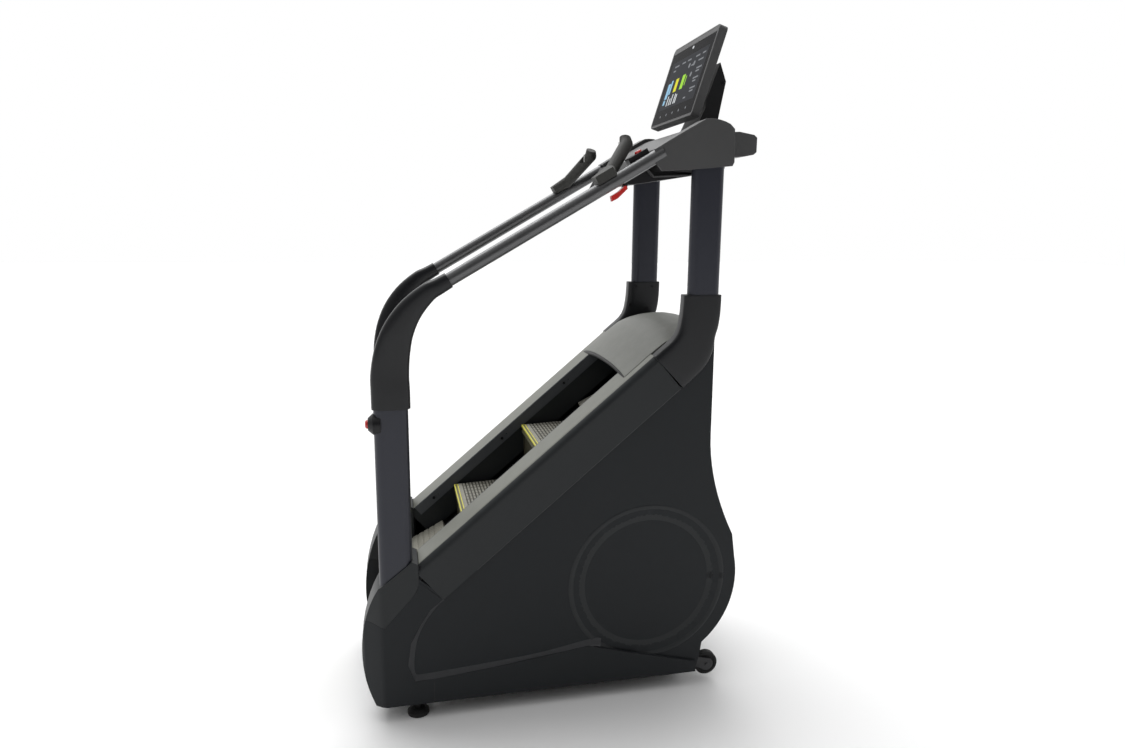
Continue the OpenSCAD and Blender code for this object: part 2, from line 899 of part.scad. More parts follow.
// Chain wheel with teeth that stop short of the chain's rollers.
module sprocket(c, x) {
    teeth = 24;
    difference() {
        bar(c, wrap_r - 8, x, x + 5);
        for (i = [0:5]) bar(c + 58 * [cos(i * 60), sin(i * 60)], 17, x - 1, x + 6);
    }
    for (i = [0:teeth - 1]) translate([x, c[0], c[1]]) rotate([i * 360 / teeth, 0, 0])
        translate([0, -4, wrap_r - 10]) cube([5, 8, 4.4]);
}

module upper_shaft() {
    color("#8b8d90") {
        bar(upper_c, 15, -234, belt_x + belt_w);
        for (x = [199.5, -204.5]) sprocket(upper_c, x);
        difference() {
            bar(upper_c, drive_pulley_r, belt_x, belt_x + belt_w);
            for (i = [0:4]) bar(upper_c + 62 * [cos(i * 72), sin(i * 72)], 24, belt_x - 1, belt_x + belt_w + 1);
        }
    }
}

module lower_shaft() {
    color("#8b8d90") {
        bar(lower_c, 15, -234, 234);
        for (x = [199.5, -204.5]) sprocket(lower_c, x);
    }
}

// Flanged bearing units on the shaft plates and on the flywheel's axle.
module bearing(c, x, r) {
    difference() {
        union() {
            bar(c, 34, x, x + 8);
            bar(c, 26, x + 8, x + 15);
        }
        bar(c, r + 0.05, x - 1, x + 17);
    }
}

module bearings() {
    color("#9b9da0") {
        on_both_sides() for (c = [lower_c, upper_c]) bearing(c, plate_x + plate_t, 15);
        bearing(fly_c, plate_x + plate_t, 10);
    }
}

// Outline of a belt or chain round two wheels of radius ra and rb.
module loop_outline(ca, ra, cb, rb) {
    d = cb - ca;
    len = norm(d);
    u = d / len;
    v = [-u[1], u[0]];
    k = (ra - rb) / len;
    w = sqrt(1 - k * k);
    translate(ca) circle(r = ra, $fn = 96);
    translate(cb) circle(r = rb, $fn = 96);
    ea = ra * 0.9996;
    eb = rb * 0.9996;
    polygon([ca + ea * (k * u + w * v), cb + eb * (k * u + w * v), cb + eb * (k * u - w * v),
             ca + ea * (k * u - w * v)]);
}

// Points of a belt's loop round two wheels of unlike size.
function loop_points(ca, ra, cb, rb, n) = let (
    d = cb - ca,
    lean = atan2(d[1], d[0]),
    tangent = acos((ra - rb) / norm(d))
) concat(arc(ca, ra, lean + tangent, lean + 360 - tangent, n), arc(cb, rb, lean - tangent, lean + tangent, n));

module step_chains() {
    color("#4b4d50") on_both_sides() across(chain_x, chain_x + chain_w) difference() {
        loop_outline(lower_c, wrap_r + 5, upper_c, wrap_r + 5);
        loop_outline(lower_c, wrap_r - 5, upper_c, wrap_r - 5);
    }
}

// Rails that carry the chains along both straight runs.
module guide_rails() {
    color("#55575a") on_both_sides() for (side = [1, -1])
        translate([0, lower_c[0], lower_c[1]]) rotate([stair_angle, 0, 0])
            translate([chain_x, 60, side * (wrap_r - 9.5) - 3.5]) cube([plate_x - chain_x, run_len - 120, 7]);
}

module flywheel() {
    color("#7b7d80") {
        difference() {
            bar(fly_c, flywheel_r, fly_x, fly_x + fly_t);
            difference() {
                bar(fly_c, flywheel_r - 34, fly_x - 1, fly_x + 4);
                bar(fly_c, 40, fly_x - 2, fly_x + 5);
            }
        }
        bar(fly_c, small_pulley_r, belt_x, belt_x + belt_w);
        bar(fly_c, 10, 218, fly_x + 1);
    }
}

module drive_belt() {
    color("#1b1b1c") across(belt_x, belt_x + belt_w) difference() {
        polygon(loop_points(upper_c, drive_pulley_r + 5, fly_c, small_pulley_r + 5, 36));
        polygon(loop_points(upper_c, drive_pulley_r + 1, fly_c, small_pulley_r + 1, 36));
    }
}

// Magnet shoe that brakes the flywheel, with its bracket on the base.
module brake_magnet() {
    color("#6a6c6f") {
        translate([fly_x - 5, fly_c[0] - 100, 130]) difference() {
            cube([fly_t + 10, 66, 128]);
            translate([3, -1, 26]) cube([fly_t + 4, 68, 110]);
        }
        translate([fly_x - 2, fly_c[0] - 90, 98]) cube([18, 46, 32]);
    }
}

// ---------- the machine ----------

translate([0, origin_y, 0]) {
    base_frame();
    shaft_plates();
    levelling_feet();
    wheel_bracket();
    transport_wheel_right();
    transport_wheel_left();
    side_panel_right();
    side_panel_left();
    stringer_cover_right();
    stringer_cover_left();
    side_skirt_right();
    side_skirt_left();
    corner_cover_right();
    corner_cover_left();
    inner_guard_right();
    inner_guard_left();
    kick_panel();
    top_hood();
    rear_cover();
    entry_post_right();
    entry_post_left();
    handrail_sleeve_right();
    handrail_sleeve_left();
    handrail_right();
    handrail_left();
    console_post_right();
    console_post_left();
    post_sleeve_right();
    post_sleeve_left();
    console_shell();
    console_underside();
    console_rear_box();
    display_bracket();
    display_housing();
    display_glass();
    grip_right();
    grip_left();
    rocker_right();
    rocker_left();
    control_pod();
    stop_button();
    brake_lever();
    post_stop_housing();
    post_stop_button();
    treads_upper_run();
    carriers_upper_run();
    noses_upper_run();
    steps_return_run();
    step_top_turn();
    tread_bottom_turn();
    carrier_bottom_turn();
    nose_bottom_turn();
    upper_shaft();
    lower_shaft();
    bearings();
    step_chains();
    guide_rails();
    flywheel();
    drive_belt();
    brake_magnet();
}
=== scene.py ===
import json
import math

import bpy
from bpy.props import FloatProperty, FloatVectorProperty, IntProperty, PointerProperty
from mathutils import Matrix, Vector

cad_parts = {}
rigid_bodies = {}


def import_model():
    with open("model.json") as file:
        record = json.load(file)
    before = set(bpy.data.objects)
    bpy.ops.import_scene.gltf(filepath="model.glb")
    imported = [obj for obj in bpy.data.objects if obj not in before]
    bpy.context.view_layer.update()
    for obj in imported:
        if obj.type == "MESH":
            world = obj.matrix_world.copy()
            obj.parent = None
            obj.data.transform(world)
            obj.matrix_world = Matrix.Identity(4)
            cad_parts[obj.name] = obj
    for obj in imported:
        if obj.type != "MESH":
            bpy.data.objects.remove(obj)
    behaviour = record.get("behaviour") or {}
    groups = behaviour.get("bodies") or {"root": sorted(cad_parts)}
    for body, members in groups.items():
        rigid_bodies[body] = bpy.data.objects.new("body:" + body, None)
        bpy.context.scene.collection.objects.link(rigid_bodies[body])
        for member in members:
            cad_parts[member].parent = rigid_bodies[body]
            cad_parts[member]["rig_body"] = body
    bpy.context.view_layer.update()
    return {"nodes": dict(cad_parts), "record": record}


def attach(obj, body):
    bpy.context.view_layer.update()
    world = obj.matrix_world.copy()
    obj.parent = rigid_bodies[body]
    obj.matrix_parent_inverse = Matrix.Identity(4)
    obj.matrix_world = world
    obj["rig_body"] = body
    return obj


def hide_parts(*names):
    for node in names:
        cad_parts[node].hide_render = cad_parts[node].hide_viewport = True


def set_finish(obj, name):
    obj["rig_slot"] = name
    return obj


bl_info = {
    "name": "Stair climber",
    "version": (1, 0, 0),
    "blender": (4, 5, 0),
    "location": "View3D > Sidebar > Stair climber",
    "description": "Builds the looks of a step-mill stair climber round its packed frame",
    "category": "Object",
}

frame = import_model()

# The design's own y = 0 lies this far in front of the frame's origin.
OFFSET_Y = 25.06
FLIGHT_ANGLE = math.radians(40.35)
RAIL_ANGLE = math.radians(30.25)
STRIP_Z = 914.7
RAIL_Z = 1582


def at(x, y, z):
    """A point in the frame, from millimetres in the design's own coordinates."""
    return Vector((x / 1000, (y + OFFSET_Y) / 1000, z / 1000))


def rail_height(y):
    """Height of the handrail's middle line."""
    return RAIL_Z + y * math.tan(RAIL_ANGLE)


# ---------- settings ----------


class FinishSettings(bpy.types.PropertyGroup):
    """Colours and surface values of the machine's finishes."""

    shell: FloatVectorProperty(
        name="Shell", description="Moulded side shells", subtype="COLOR", size=3,
        default=(0.0125, 0.0145, 0.0165), min=0, max=1
    )
    cover: FloatVectorProperty(
        name="Cover", description="Stringer and corner covers", subtype="COLOR", size=3,
        default=(0.016, 0.018, 0.0195), min=0, max=1
    )
    # Painted light: the covers' top faces get this paler colour, which stands for the light from above on
    # the charcoal cover plastic.
    strip: FloatVectorProperty(
        name="Strip", description="Pale top face of the stringer covers", subtype="COLOR", size=3,
        default=(0.135, 0.138, 0.118), min=0, max=1
    )
    hood: FloatVectorProperty(
        name="Hood", description="Hood over the top of the flight", subtype="COLOR", size=3,
        default=(0.125, 0.128, 0.115), min=0, max=1
    )
    post: FloatVectorProperty(
        name="Posts", description="Painted oval posts", subtype="COLOR", size=3,
        default=(0.0115, 0.013, 0.0225), min=0, max=1
    )
    rail: FloatVectorProperty(
        name="Handrails", description="Metallic paint of the handrails", subtype="COLOR", size=3,
        default=(0.095, 0.096, 0.098), min=0, max=1
    )
    console: FloatVectorProperty(
        name="Console", description="Console moulding", subtype="COLOR", size=3,
        default=(0.055, 0.055, 0.056), min=0, max=1
    )
    tread: FloatVectorProperty(
        name="Treads", description="Ribbed treads", subtype="COLOR", size=3, default=(0.27, 0.262, 0.222),
        min=0, max=1
    )
    yellow: FloatVectorProperty(
        name="Nose lines", description="Yellow lines of the step noses", subtype="COLOR", size=3,
        default=(0.62, 0.57, 0.055), min=0, max=1
    )
    red: FloatVectorProperty(
        name="Red controls", description="Stop buttons and hand brake", subtype="COLOR", size=3,
        default=(0.55, 0.022, 0.018), min=0, max=1
    )


class ShapeSettings(bpy.types.PropertyGroup):
    """Sizes of the detailed pieces."""

    edge_round: FloatProperty(
        name="Edge rounding", description="Rounding of the moulded shells' edges", unit="LENGTH",
        default=0.0018, min=0.0005, max=0.004
    )
    sleeve_detail: IntProperty(
        name="Sleeve detail", description="Points round one ring of a sleeve", default=40, min=24, max=64
    )
    rib_pitch: FloatProperty(
        name="Rib pitch", description="Distance between the ribs of a tread", unit="LENGTH", default=0.022,
        min=0.012, max=0.03
    )
    screw_radius: FloatProperty(
        name="Screw radius", description="Radius of the shells' screw heads", unit="LENGTH", default=0.0052,
        min=0.003, max=0.008
    )


class StageSettings(bpy.types.PropertyGroup):
    """Light and floor."""

    floor: FloatVectorProperty(
        name="Floor", description="Colour of the floor", subtype="COLOR", size=3,
        default=(0.93, 0.93, 0.93), min=0, max=1
    )
    key: FloatProperty(
        name="Key light", description="Strength of the soft sun overhead", default=1.9, min=0, max=20
    )
    fill: FloatProperty(
        name="Fill light", description="Strength of the light on the climber's right", subtype="POWER",
        default=5, min=0, max=2000
    )


# ---------- shader groups ----------


def new_group(name, inputs, outputs):
    g = bpy.data.node_groups.new(name, "ShaderNodeTree")
    for n, kind, value in inputs:
        s = g.interface.new_socket(name=n, in_out="INPUT", socket_type=kind)
        if value is not None:
            s.default_value = value
    for n, kind in outputs:
        g.interface.new_socket(name=n, in_out="OUTPUT", socket_type=kind)
    return g, g.nodes.new("NodeGroupInput"), g.nodes.new("NodeGroupOutput")


def put(n, **values):
    """Sets the inputs of a node; an underscore in a name stands for a space."""
    for k, v in values.items():
        n.inputs[k.replace("_", " ")].default_value = v


def node(tree, kind, place=(0, 0), **values):
    n = tree.nodes.new(kind)
    n.location = place
    for k, v in values.items():
        setattr(n, k, v)
    return n


def maths(tree, operation, a, b=None, c=None, clamp=False):
    n = node(tree, "ShaderNodeMath", operation=operation, use_clamp=clamp)
    for i, v in enumerate((a, b, c)):
        if v is None:
            continue
        if isinstance(v, (int, float)):
            n.inputs[i].default_value = v
        else:
            tree.links.new(v, n.inputs[i])
    return n.outputs[0]


def noise(tree, vector, scale, detail=3.0, rough=0.55):
    n = node(tree, "ShaderNodeTexNoise")
    put(n, Detail=detail, Roughness=rough)
    tree.links.new(vector, n.inputs["Vector"])
    if isinstance(scale, (int, float)):
        put(n, Scale=scale)
    else:
        tree.links.new(scale, n.inputs["Scale"])
    return n.outputs["Fac"]


def remap(tree, value, a, b, c, d):
    n = node(tree, "ShaderNodeMapRange")
    tree.links.new(value, n.inputs["Value"])
    for key, v in (("From Min", a), ("From Max", b), ("To Min", c), ("To Max", d)):
        if isinstance(v, (int, float)):
            n.inputs[key].default_value = v
        else:
            tree.links.new(v, n.inputs[key])
    return n.outputs[0]


def mix_colour(tree, factor, a, b, blend="MIX"):
    n = node(tree, "ShaderNodeMix", data_type="RGBA", blend_type=blend)
    if isinstance(factor, (int, float)):
        n.inputs[0].default_value = factor
    else:
        tree.links.new(factor, n.inputs[0])
    for i, v in ((6, a), (7, b)):
        if isinstance(v, (tuple, list)):
            n.inputs[i].default_value = (*v[:3], 1)
        else:
            tree.links.new(v, n.inputs[i])
    return n.outputs[2]


def build_grain_group():
    """Spark-eroded grain of moulded plastic: fine cells under a slow drift of tone and gloss."""
    g, gi, go = new_group(
        "moulded_grain",
        [
            ("Vector", "NodeSocketVector", None), ("Scale", "NodeSocketFloat", 900.0),
            ("Tone", "NodeSocketFloat", 0.12), ("Roughness", "NodeSocketFloat", 0.45),
            ("Gloss drift", "NodeSocketFloat", 0.08)
        ],
        [("Height", "NodeSocketFloat"), ("Tone", "NodeSocketFloat"), ("Roughness", "NodeSocketFloat")],
    )
    v = gi.outputs["Vector"]
    fine = noise(g, v, gi.outputs["Scale"], 2.0, 0.6)
    cells = node(g, "ShaderNodeTexVoronoi", feature="SMOOTH_F1")
    g.links.new(v, cells.inputs["Vector"])
    g.links.new(maths(g, "MULTIPLY", gi.outputs["Scale"], 0.7), cells.inputs["Scale"])
    put(cells, Smoothness=0.5)
    g.links.new(
        maths(
            g, "ADD", maths(g, "MULTIPLY", fine, 0.6), maths(g, "MULTIPLY", cells.outputs["Distance"], 0.5)
        ),
        go.inputs["Height"]
    )
    slow = noise(g, v, 3.2, 4.0, 0.6)
    mid = noise(g, v, 40.0, 3.0, 0.65)
    drift = maths(g, "ADD", maths(g, "MULTIPLY", slow, 0.7), maths(g, "MULTIPLY", mid, 0.3))
    centred = maths(g, "SUBTRACT", drift, 0.5)
    g.links.new(maths(g, "ADD", 1.0, maths(g, "MULTIPLY", centred, gi.outputs["Tone"])), go.inputs["Tone"])
    g.links.new(
        maths(
            g, "ADD", gi.outputs["Roughness"], maths(g, "MULTIPLY", centred, gi.outputs["Gloss drift"]),
            clamp=True
        ),
        go.inputs["Roughness"]
    )
    return g


def build_dust_group():
    """Thin dust on faces that look up, broken by noise."""
    g, gi, go = new_group(
        "settled_dust",
        [("Vector", "NodeSocketVector", None), ("Amount", "NodeSocketFloat", 0.3)],
        [("Mask", "NodeSocketFloat")],
    )
    geo = node(g, "ShaderNodeNewGeometry")
    split = node(g, "ShaderNodeSeparateXYZ")
    g.links.new(geo.outputs["Normal"], split.inputs[0])
    up = remap(g, split.outputs["Z"], 0.35, 0.95, 0.0, 1.0)
    cloud = remap(g, noise(g, gi.outputs["Vector"], 22.0, 6.0, 0.7), 0.3, 0.75, 0.35, 1.0)
    g.links.new(
        maths(g, "MULTIPLY", maths(g, "MULTIPLY", up, cloud), gi.outputs["Amount"], clamp=True),
        go.inputs["Mask"]
    )
    return g


def build_scuff_group():
    """Fine hair scratches and rubbed patches."""
    g, gi, go = new_group(
        "hair_scratches",
        [
            ("Vector", "NodeSocketVector", None), ("Scale", "NodeSocketFloat", 60.0),
            ("Amount", "NodeSocketFloat", 0.3)
        ],
        [("Mask", "NodeSocketFloat")],
    )
    total = None
    for turn in (0.35, 1.3, 2.4):
        m = node(g, "ShaderNodeMapping")
        put(m, Rotation=(turn * 0.6, turn, turn * 1.7), Scale=(1.0, 26.0, 9.0))
        g.links.new(gi.outputs["Vector"], m.inputs["Vector"])
        line = remap(g, noise(g, m.outputs[0], gi.outputs["Scale"], 2.0, 0.5), 0.69, 0.74, 0.0, 1.0)
        total = line if total is None else maths(g, "MAXIMUM", total, line)
    patch = remap(g, noise(g, gi.outputs["Vector"], 9.0, 3.0, 0.6), 0.5, 0.7, 0.0, 1.0)
    g.links.new(
        maths(g, "MULTIPLY", maths(g, "MULTIPLY", total, patch), gi.outputs["Amount"], clamp=True),
        go.inputs["Mask"]
    )
    return g


def build_rib_group():
    """Raised ribs across a tread, broken into short bars."""
    g, gi, go = new_group(
        "tread_ribs",
        [("Vector", "NodeSocketVector", None), ("Pitch", "NodeSocketFloat", 0.022)],
        [("Height", "NodeSocketFloat"), ("Wear", "NodeSocketFloat")],
    )
    split = node(g, "ShaderNodeSeparateXYZ")
    g.links.new(gi.outputs["Vector"], split.inputs[0])
    x = maths(g, "FRACT", maths(g, "DIVIDE", split.outputs["X"], 0.0145))
    bar = remap(g, maths(g, "ABSOLUTE", maths(g, "SUBTRACT", x, 0.5)), 0.36, 0.44, 1.0, 0.0)
    y = maths(
        g, "FRACT", maths(g, "DIVIDE", split.outputs["Y"], maths(g, "MULTIPLY", gi.outputs["Pitch"], 0.25))
    )
    fine = remap(g, maths(g, "ABSOLUTE", maths(g, "SUBTRACT", y, 0.5)), 0.25, 0.42, 1.0, 0.0)
    g.links.new(maths(g, "ADD", bar, maths(g, "MULTIPLY", fine, 0.45)), go.inputs["Height"])
    g.links.new(
        remap(g, noise(g, gi.outputs["Vector"], 34.0, 5.0, 0.7), 0.35, 0.7, 0.0, 1.0), go.inputs["Wear"]
    )
    return g


GROUPS = {}


def use_group(tree, key, vector=None, **values):
    n = node(tree, "ShaderNodeGroup")
    n.node_tree = GROUPS[key]
    if vector is not None:
        tree.links.new(vector, n.inputs["Vector"])
    put(n, **values)
    return n


# ---------- materials ----------

MATERIALS = {}


def start_material(name):
    m = bpy.data.materials.new(name)
    m.use_nodes = True
    t = m.node_tree
    t.nodes.clear()
    out = node(t, "ShaderNodeOutputMaterial", (900, 0))
    shader = node(t, "ShaderNodeBsdfPrincipled", (600, 0))
    t.links.new(shader.outputs[0], out.inputs[0])
    place = node(t, "ShaderNodeTexCoord", (-900, 0))
    MATERIALS[name] = m
    return t, shader, place.outputs["Object"]


def raise_grain(tree, shader, height, strength, distance):
    """Bends a shader's normal by a height."""
    b = node(tree, "ShaderNodeBump", (300, -300))
    put(b, Strength=strength, Distance=distance)
    tree.links.new(height, b.inputs["Height"])
    tree.links.new(b.outputs[0], shader.inputs["Normal"])


def paler(colour, gain, lift=0.0):
    """A colour made lighter, and kept within range."""
    return tuple(min(1.0, c * gain + lift) for c in colour)


def moulded(
    name, colour, rough=0.45, scale=900.0, bump=0.25, distance=0.0002, tone=0.25, dust=0.25, scuff=0.25,
    specular=0.5
):
    """Grained moulding with a drift of tone, a little dust on top and a few hair scratches."""
    t, s, v = start_material(name)
    grain = use_group(t, "grain", v, Scale=scale, Tone=tone, Roughness=rough, Gloss_drift=0.16)
    tinted = mix_colour(t, 1.0, colour, grain.outputs["Tone"], "MULTIPLY")
    dusty = use_group(t, "dust", v, Amount=dust)
    scratch = use_group(t, "scuff", v, Amount=scuff)
    pale = paler(colour, 2.2, 0.05)
    covered = mix_colour(t, dusty.outputs["Mask"], tinted, pale)
    rubbed = mix_colour(t, scratch.outputs["Mask"], covered, paler(colour, 2.6, 0.02))
    t.links.new(rubbed, s.inputs["Base Color"])
    r = maths(
        t, "ADD", grain.outputs["Roughness"], maths(t, "MULTIPLY", dusty.outputs["Mask"], 0.25), clamp=True
    )
    t.links.new(r, s.inputs["Roughness"])
    put(s, Specular_IOR_Level=specular)
    raise_grain(t, s, grain.outputs["Height"], bump, distance)
    return t, s, v


def painted_metal(name, colour, metallic, rough, flake=0.2, coat=0.15):
    """Powder or metallic paint: orange peel, fine flakes and a thin clear coat."""
    t, s, v = start_material(name)
    grain = use_group(t, "grain", v, Scale=420.0, Tone=flake, Roughness=rough, Gloss_drift=0.12)
    sparkle = remap(t, noise(t, v, 2600.0, 1.0, 0.5), 0.52, 0.75, 0.0, 1.0)
    base = mix_colour(t, 1.0, colour, grain.outputs["Tone"], "MULTIPLY")
    flaked = mix_colour(t, maths(t, "MULTIPLY", sparkle, flake), base, paler(colour, 3, 0.04))
    scratch = use_group(t, "scuff", v, Scale=40.0, Amount=0.2)
    worn = mix_colour(t, scratch.outputs["Mask"], flaked, paler(colour, 3, 0.05))
    t.links.new(worn, s.inputs["Base Color"])
    t.links.new(grain.outputs["Roughness"], s.inputs["Roughness"])
    put(s, Metallic=metallic, Coat_Weight=coat, Coat_Roughness=0.25)
    raise_grain(t, s, grain.outputs["Height"], 0.18, 0.0002)


def turned_steel(name, colour, rough):
    """Bright turned or drawn metal with fine lines and a dull film."""
    t, s, v = start_material(name)
    m = node(t, "ShaderNodeMapping")
    put(m, Scale=(900.0, 30.0, 30.0))
    t.links.new(v, m.inputs["Vector"])
    lines = noise(t, m.outputs[0], 1.0, 3.0, 0.6)
    film = noise(t, v, 18.0, 5.0, 0.65)
    base = mix_colour(t, remap(t, film, 0.35, 0.75, 0.0, 0.6), colour, tuple(c * 0.45 for c in colour))
    t.links.new(base, s.inputs["Base Color"])
    put(s, Metallic=1.0)
    t.links.new(remap(t, lines, 0.3, 0.7, rough - 0.08, rough + 0.14), s.inputs["Roughness"])
    raise_grain(t, s, lines, 0.12, 0.0001)


def soft_rubber(name, colour, rough=0.6, scale=600.0):
    """Soft-touch rubber with a stippled skin."""
    t, s, v = moulded(name, colour, rough, scale, 0.4, 0.0003, 0.3, 0.2, 0.1, 0.4)
    dots = node(t, "ShaderNodeTexVoronoi", feature="F1")
    put(dots, Scale=320.0)
    t.links.new(v, dots.inputs["Vector"])
    raise_grain(t, s, remap(t, dots.outputs["Distance"], 0.1, 0.5, 1.0, 0.0), 0.35, 0.0004)


def gloss_plastic(name, colour, rough=0.22):
    t, s, v = start_material(name)
    grain = use_group(t, "grain", v, Scale=260.0, Tone=0.12, Roughness=rough, Gloss_drift=0.1)
    scratch = use_group(t, "scuff", v, Scale=90.0, Amount=0.35)
    base = mix_colour(t, 1.0, colour, grain.outputs["Tone"], "MULTIPLY")
    t.links.new(
        mix_colour(t, scratch.outputs["Mask"], base, paler(colour, 1.6, 0.06)), s.inputs["Base Color"]
    )
    t.links.new(
        maths(
            t, "ADD", grain.outputs["Roughness"], maths(t, "MULTIPLY", scratch.outputs["Mask"], 0.3),
            clamp=True
        ),
        s.inputs["Roughness"]
    )
    put(s, Coat_Weight=0.3, Coat_Roughness=0.12)


def glowing(name, colour, strength):
    """A lit mark on the display, with a fine dot raster."""
    t, s, v = start_material(name)
    dots = node(t, "ShaderNodeTexVoronoi", feature="F1")
    put(dots, Scale=1600.0)
    t.links.new(v, dots.inputs["Vector"])
    level = remap(t, dots.outputs["Distance"], 0.0, 0.6, 1.1, 0.75)
    t.links.new(mix_colour(t, 1.0, colour, level, "MULTIPLY"), s.inputs["Emission Color"])
    put(
        s, Emission_Strength=strength, Base_Color=(*[c * 0.2 for c in colour], 1), Roughness=0.3,
        Specular_IOR_Level=0.012
    )


def display_face(name):
    """Black glass with faint smears."""
    t, s, v = start_material(name)
    smear = noise(t, v, 14.0, 5.0, 0.7)
    prints = noise(t, v, 90.0, 3.0, 0.6)
    t.links.new(
        mix_colour(t, remap(t, smear, 0.4, 0.8, 0.0, 0.5), (0.006, 0.006, 0.007), (0.014, 0.014, 0.016)),
        s.inputs["Base Color"]
    )
    t.links.new(remap(t, maths(t, "MULTIPLY", smear, prints), 0.15, 0.4, 0.08, 0.25), s.inputs["Roughness"])
    put(s, Specular_IOR_Level=0.012)


def tread_material(name, colour, pitch):
    t, s, v = start_material(name)
    ribs = use_group(t, "ribs", v, Pitch=pitch)
    grain = use_group(t, "grain", v, Scale=700.0, Tone=0.35, Roughness=0.6, Gloss_drift=0.15)
    base = mix_colour(t, 1.0, colour, grain.outputs["Tone"], "MULTIPLY")
    # Painted shade: the low ground between the ribs is mixed towards 42 % of the tread colour.
    low = tuple(c * 0.42 for c in colour)
    ribbed = mix_colour(t, remap(t, ribs.outputs["Height"], 0.2, 1.0, 0.75, 0.0), base, low)
    worn = mix_colour(t, maths(t, "MULTIPLY", ribs.outputs["Wear"], 0.25), ribbed, paler(colour, 1.5))
    t.links.new(worn, s.inputs["Base Color"])
    t.links.new(grain.outputs["Roughness"], s.inputs["Roughness"])
    raise_grain(
        t, s, maths(t, "ADD", ribs.outputs["Height"], maths(t, "MULTIPLY", grain.outputs["Height"], 0.2)),
        0.7, 0.0012
    )


# ---------- modelling helpers ----------


def edit_mode():
    bpy.ops.object.mode_set(mode="EDIT")


def object_mode():
    bpy.ops.object.mode_set(mode="OBJECT")


def mark_all(action="SELECT"):
    """Selects everything in the mesh being edited, or nothing."""
    bpy.ops.mesh.select_all(action=action)


def new_object(name, data):
    obj = bpy.data.objects.new(name, data)
    bpy.context.collection.objects.link(obj)
    return obj


def clear_selection():
    if bpy.context.object and bpy.context.object.mode != "OBJECT":
        object_mode()
    bpy.ops.object.select_all(action="DESELECT")


def pick(obj):
    clear_selection()
    obj.hide_set(False)
    obj.select_set(True)
    bpy.context.view_layer.objects.active = obj


def settle(obj, name, material, slot, body="machine", stands_for=()):
    """Names a finished piece, seats its place in its mesh and hands it to the frame."""
    pick(obj)
    bpy.ops.object.transform_apply(location=True, rotation=True, scale=True)
    obj.name = name
    obj.data.name = name
    obj.data.materials.clear()
    obj.data.materials.append(MATERIALS[material])
    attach(obj, body)
    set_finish(obj, slot)
    if stands_for:
        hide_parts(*stands_for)
    return obj


def smooth(obj, angle=32):
    pick(obj)
    bpy.ops.object.shade_smooth_by_angle(angle=math.radians(angle))
    m = obj.modifiers.new("face_weight", "WEIGHTED_NORMAL")
    m.keep_sharp = True
    m.weight = 80
    bpy.ops.object.modifier_apply(modifier=m.name)


def bevel(obj, width, segments=3, angle=35):
    pick(obj)
    m = obj.modifiers.new("edge", "BEVEL")
    m.width = width
    m.segments = segments
    m.limit_method = "ANGLE"
    m.angle_limit = math.radians(angle)
    m.use_clamp_overlap = True
    bpy.ops.object.modifier_apply(modifier=m.name)


def outward(obj):
    pick(obj)
    edit_mode()
    mark_all()
    bpy.ops.mesh.remove_doubles(threshold=0.00002)
    bpy.ops.mesh.normals_make_consistent(inside=False)
    object_mode()


def rounded_copy(
    cad, name, material, slot, body="machine", width=0.0015, segments=2, angle=30, flat=0.6, wide=None
):
    """A copy of a moulded CAD piece with its flat faces joined and its edges rounded."""
    source = frame["nodes"][cad]
    mesh = source.data.copy()
    obj = new_object(name, mesh)
    pick(obj)
    edit_mode()
    mark_all()
    bpy.ops.mesh.remove_doubles(threshold=0.00001)
    bpy.ops.mesh.dissolve_limited(angle_limit=math.radians(flat), use_dissolve_boundaries=False)
    object_mode()
    if wide and edges_where(obj, wide[0]):
        edit_mode()
        bpy.ops.mesh.bevel(offset=wide[1], segments=4, affect="EDGES", clamp_overlap=True)
        object_mode()
    bevel(obj, width, segments, angle)
    smooth(obj, 35)
    return settle(obj, name, material, slot, body, (cad,))


def ring(points):
    """One closed ring, from a circle whose points are moved to their places."""
    bpy.ops.mesh.primitive_circle_add(vertices=len(points), radius=0.01, fill_type="NOTHING")
    obj = bpy.context.object
    for v, p in zip(obj.data.vertices, points):
        v.co = p
    obj.location = (0, 0, 0)
    return obj


def loft(name, rings):
    """A skin over a row of rings, closed at its ends."""
    clear_selection()
    made = [ring(r) for r in rings]
    clear_selection()
    for o in made:
        o.select_set(True)
    bpy.context.view_layer.objects.active = made[0]
    bpy.ops.object.join()
    obj = bpy.context.object
    obj.name = name
    count = len(rings[0])
    edit_mode()
    mark_all("DESELECT")
    object_mode()
    for i in range(len(rings) - 1):
        for e in obj.data.edges:
            a, b = e.vertices
            e.select = (
                a // count in (i, i + 1)
            ) and (b // count in (i, i + 1)) and (a // count == b // count)
        edit_mode()
        bpy.ops.mesh.select_mode(type="EDGE")
        bpy.ops.mesh.bridge_edge_loops()
        mark_all("DESELECT")
        object_mode()
    for i in (0, len(rings) - 1):
        for e in obj.data.edges:
            a, b = e.vertices
            e.select = a // count == i and b // count == i
        edit_mode()
        bpy.ops.mesh.select_mode(type="EDGE")
        bpy.ops.mesh.edge_face_add()
        mark_all("DESELECT")
        object_mode()
    outward(obj)
    return obj


def oval_points(centre, along, across, length, width, count, power=2.6):
    """Points of a rounded oval: along is its long direction."""
    out = []
    for i in range(count):
        a = 2 * math.pi * i / count
        c, s = math.cos(a), math.sin(a)
        u = math.copysign(abs(c) ** (2 / power), c) * length / 2
        w = math.copysign(abs(s) ** (2 / power), s) * width / 2
        out.append(centre + along * u + across * w)
    return out


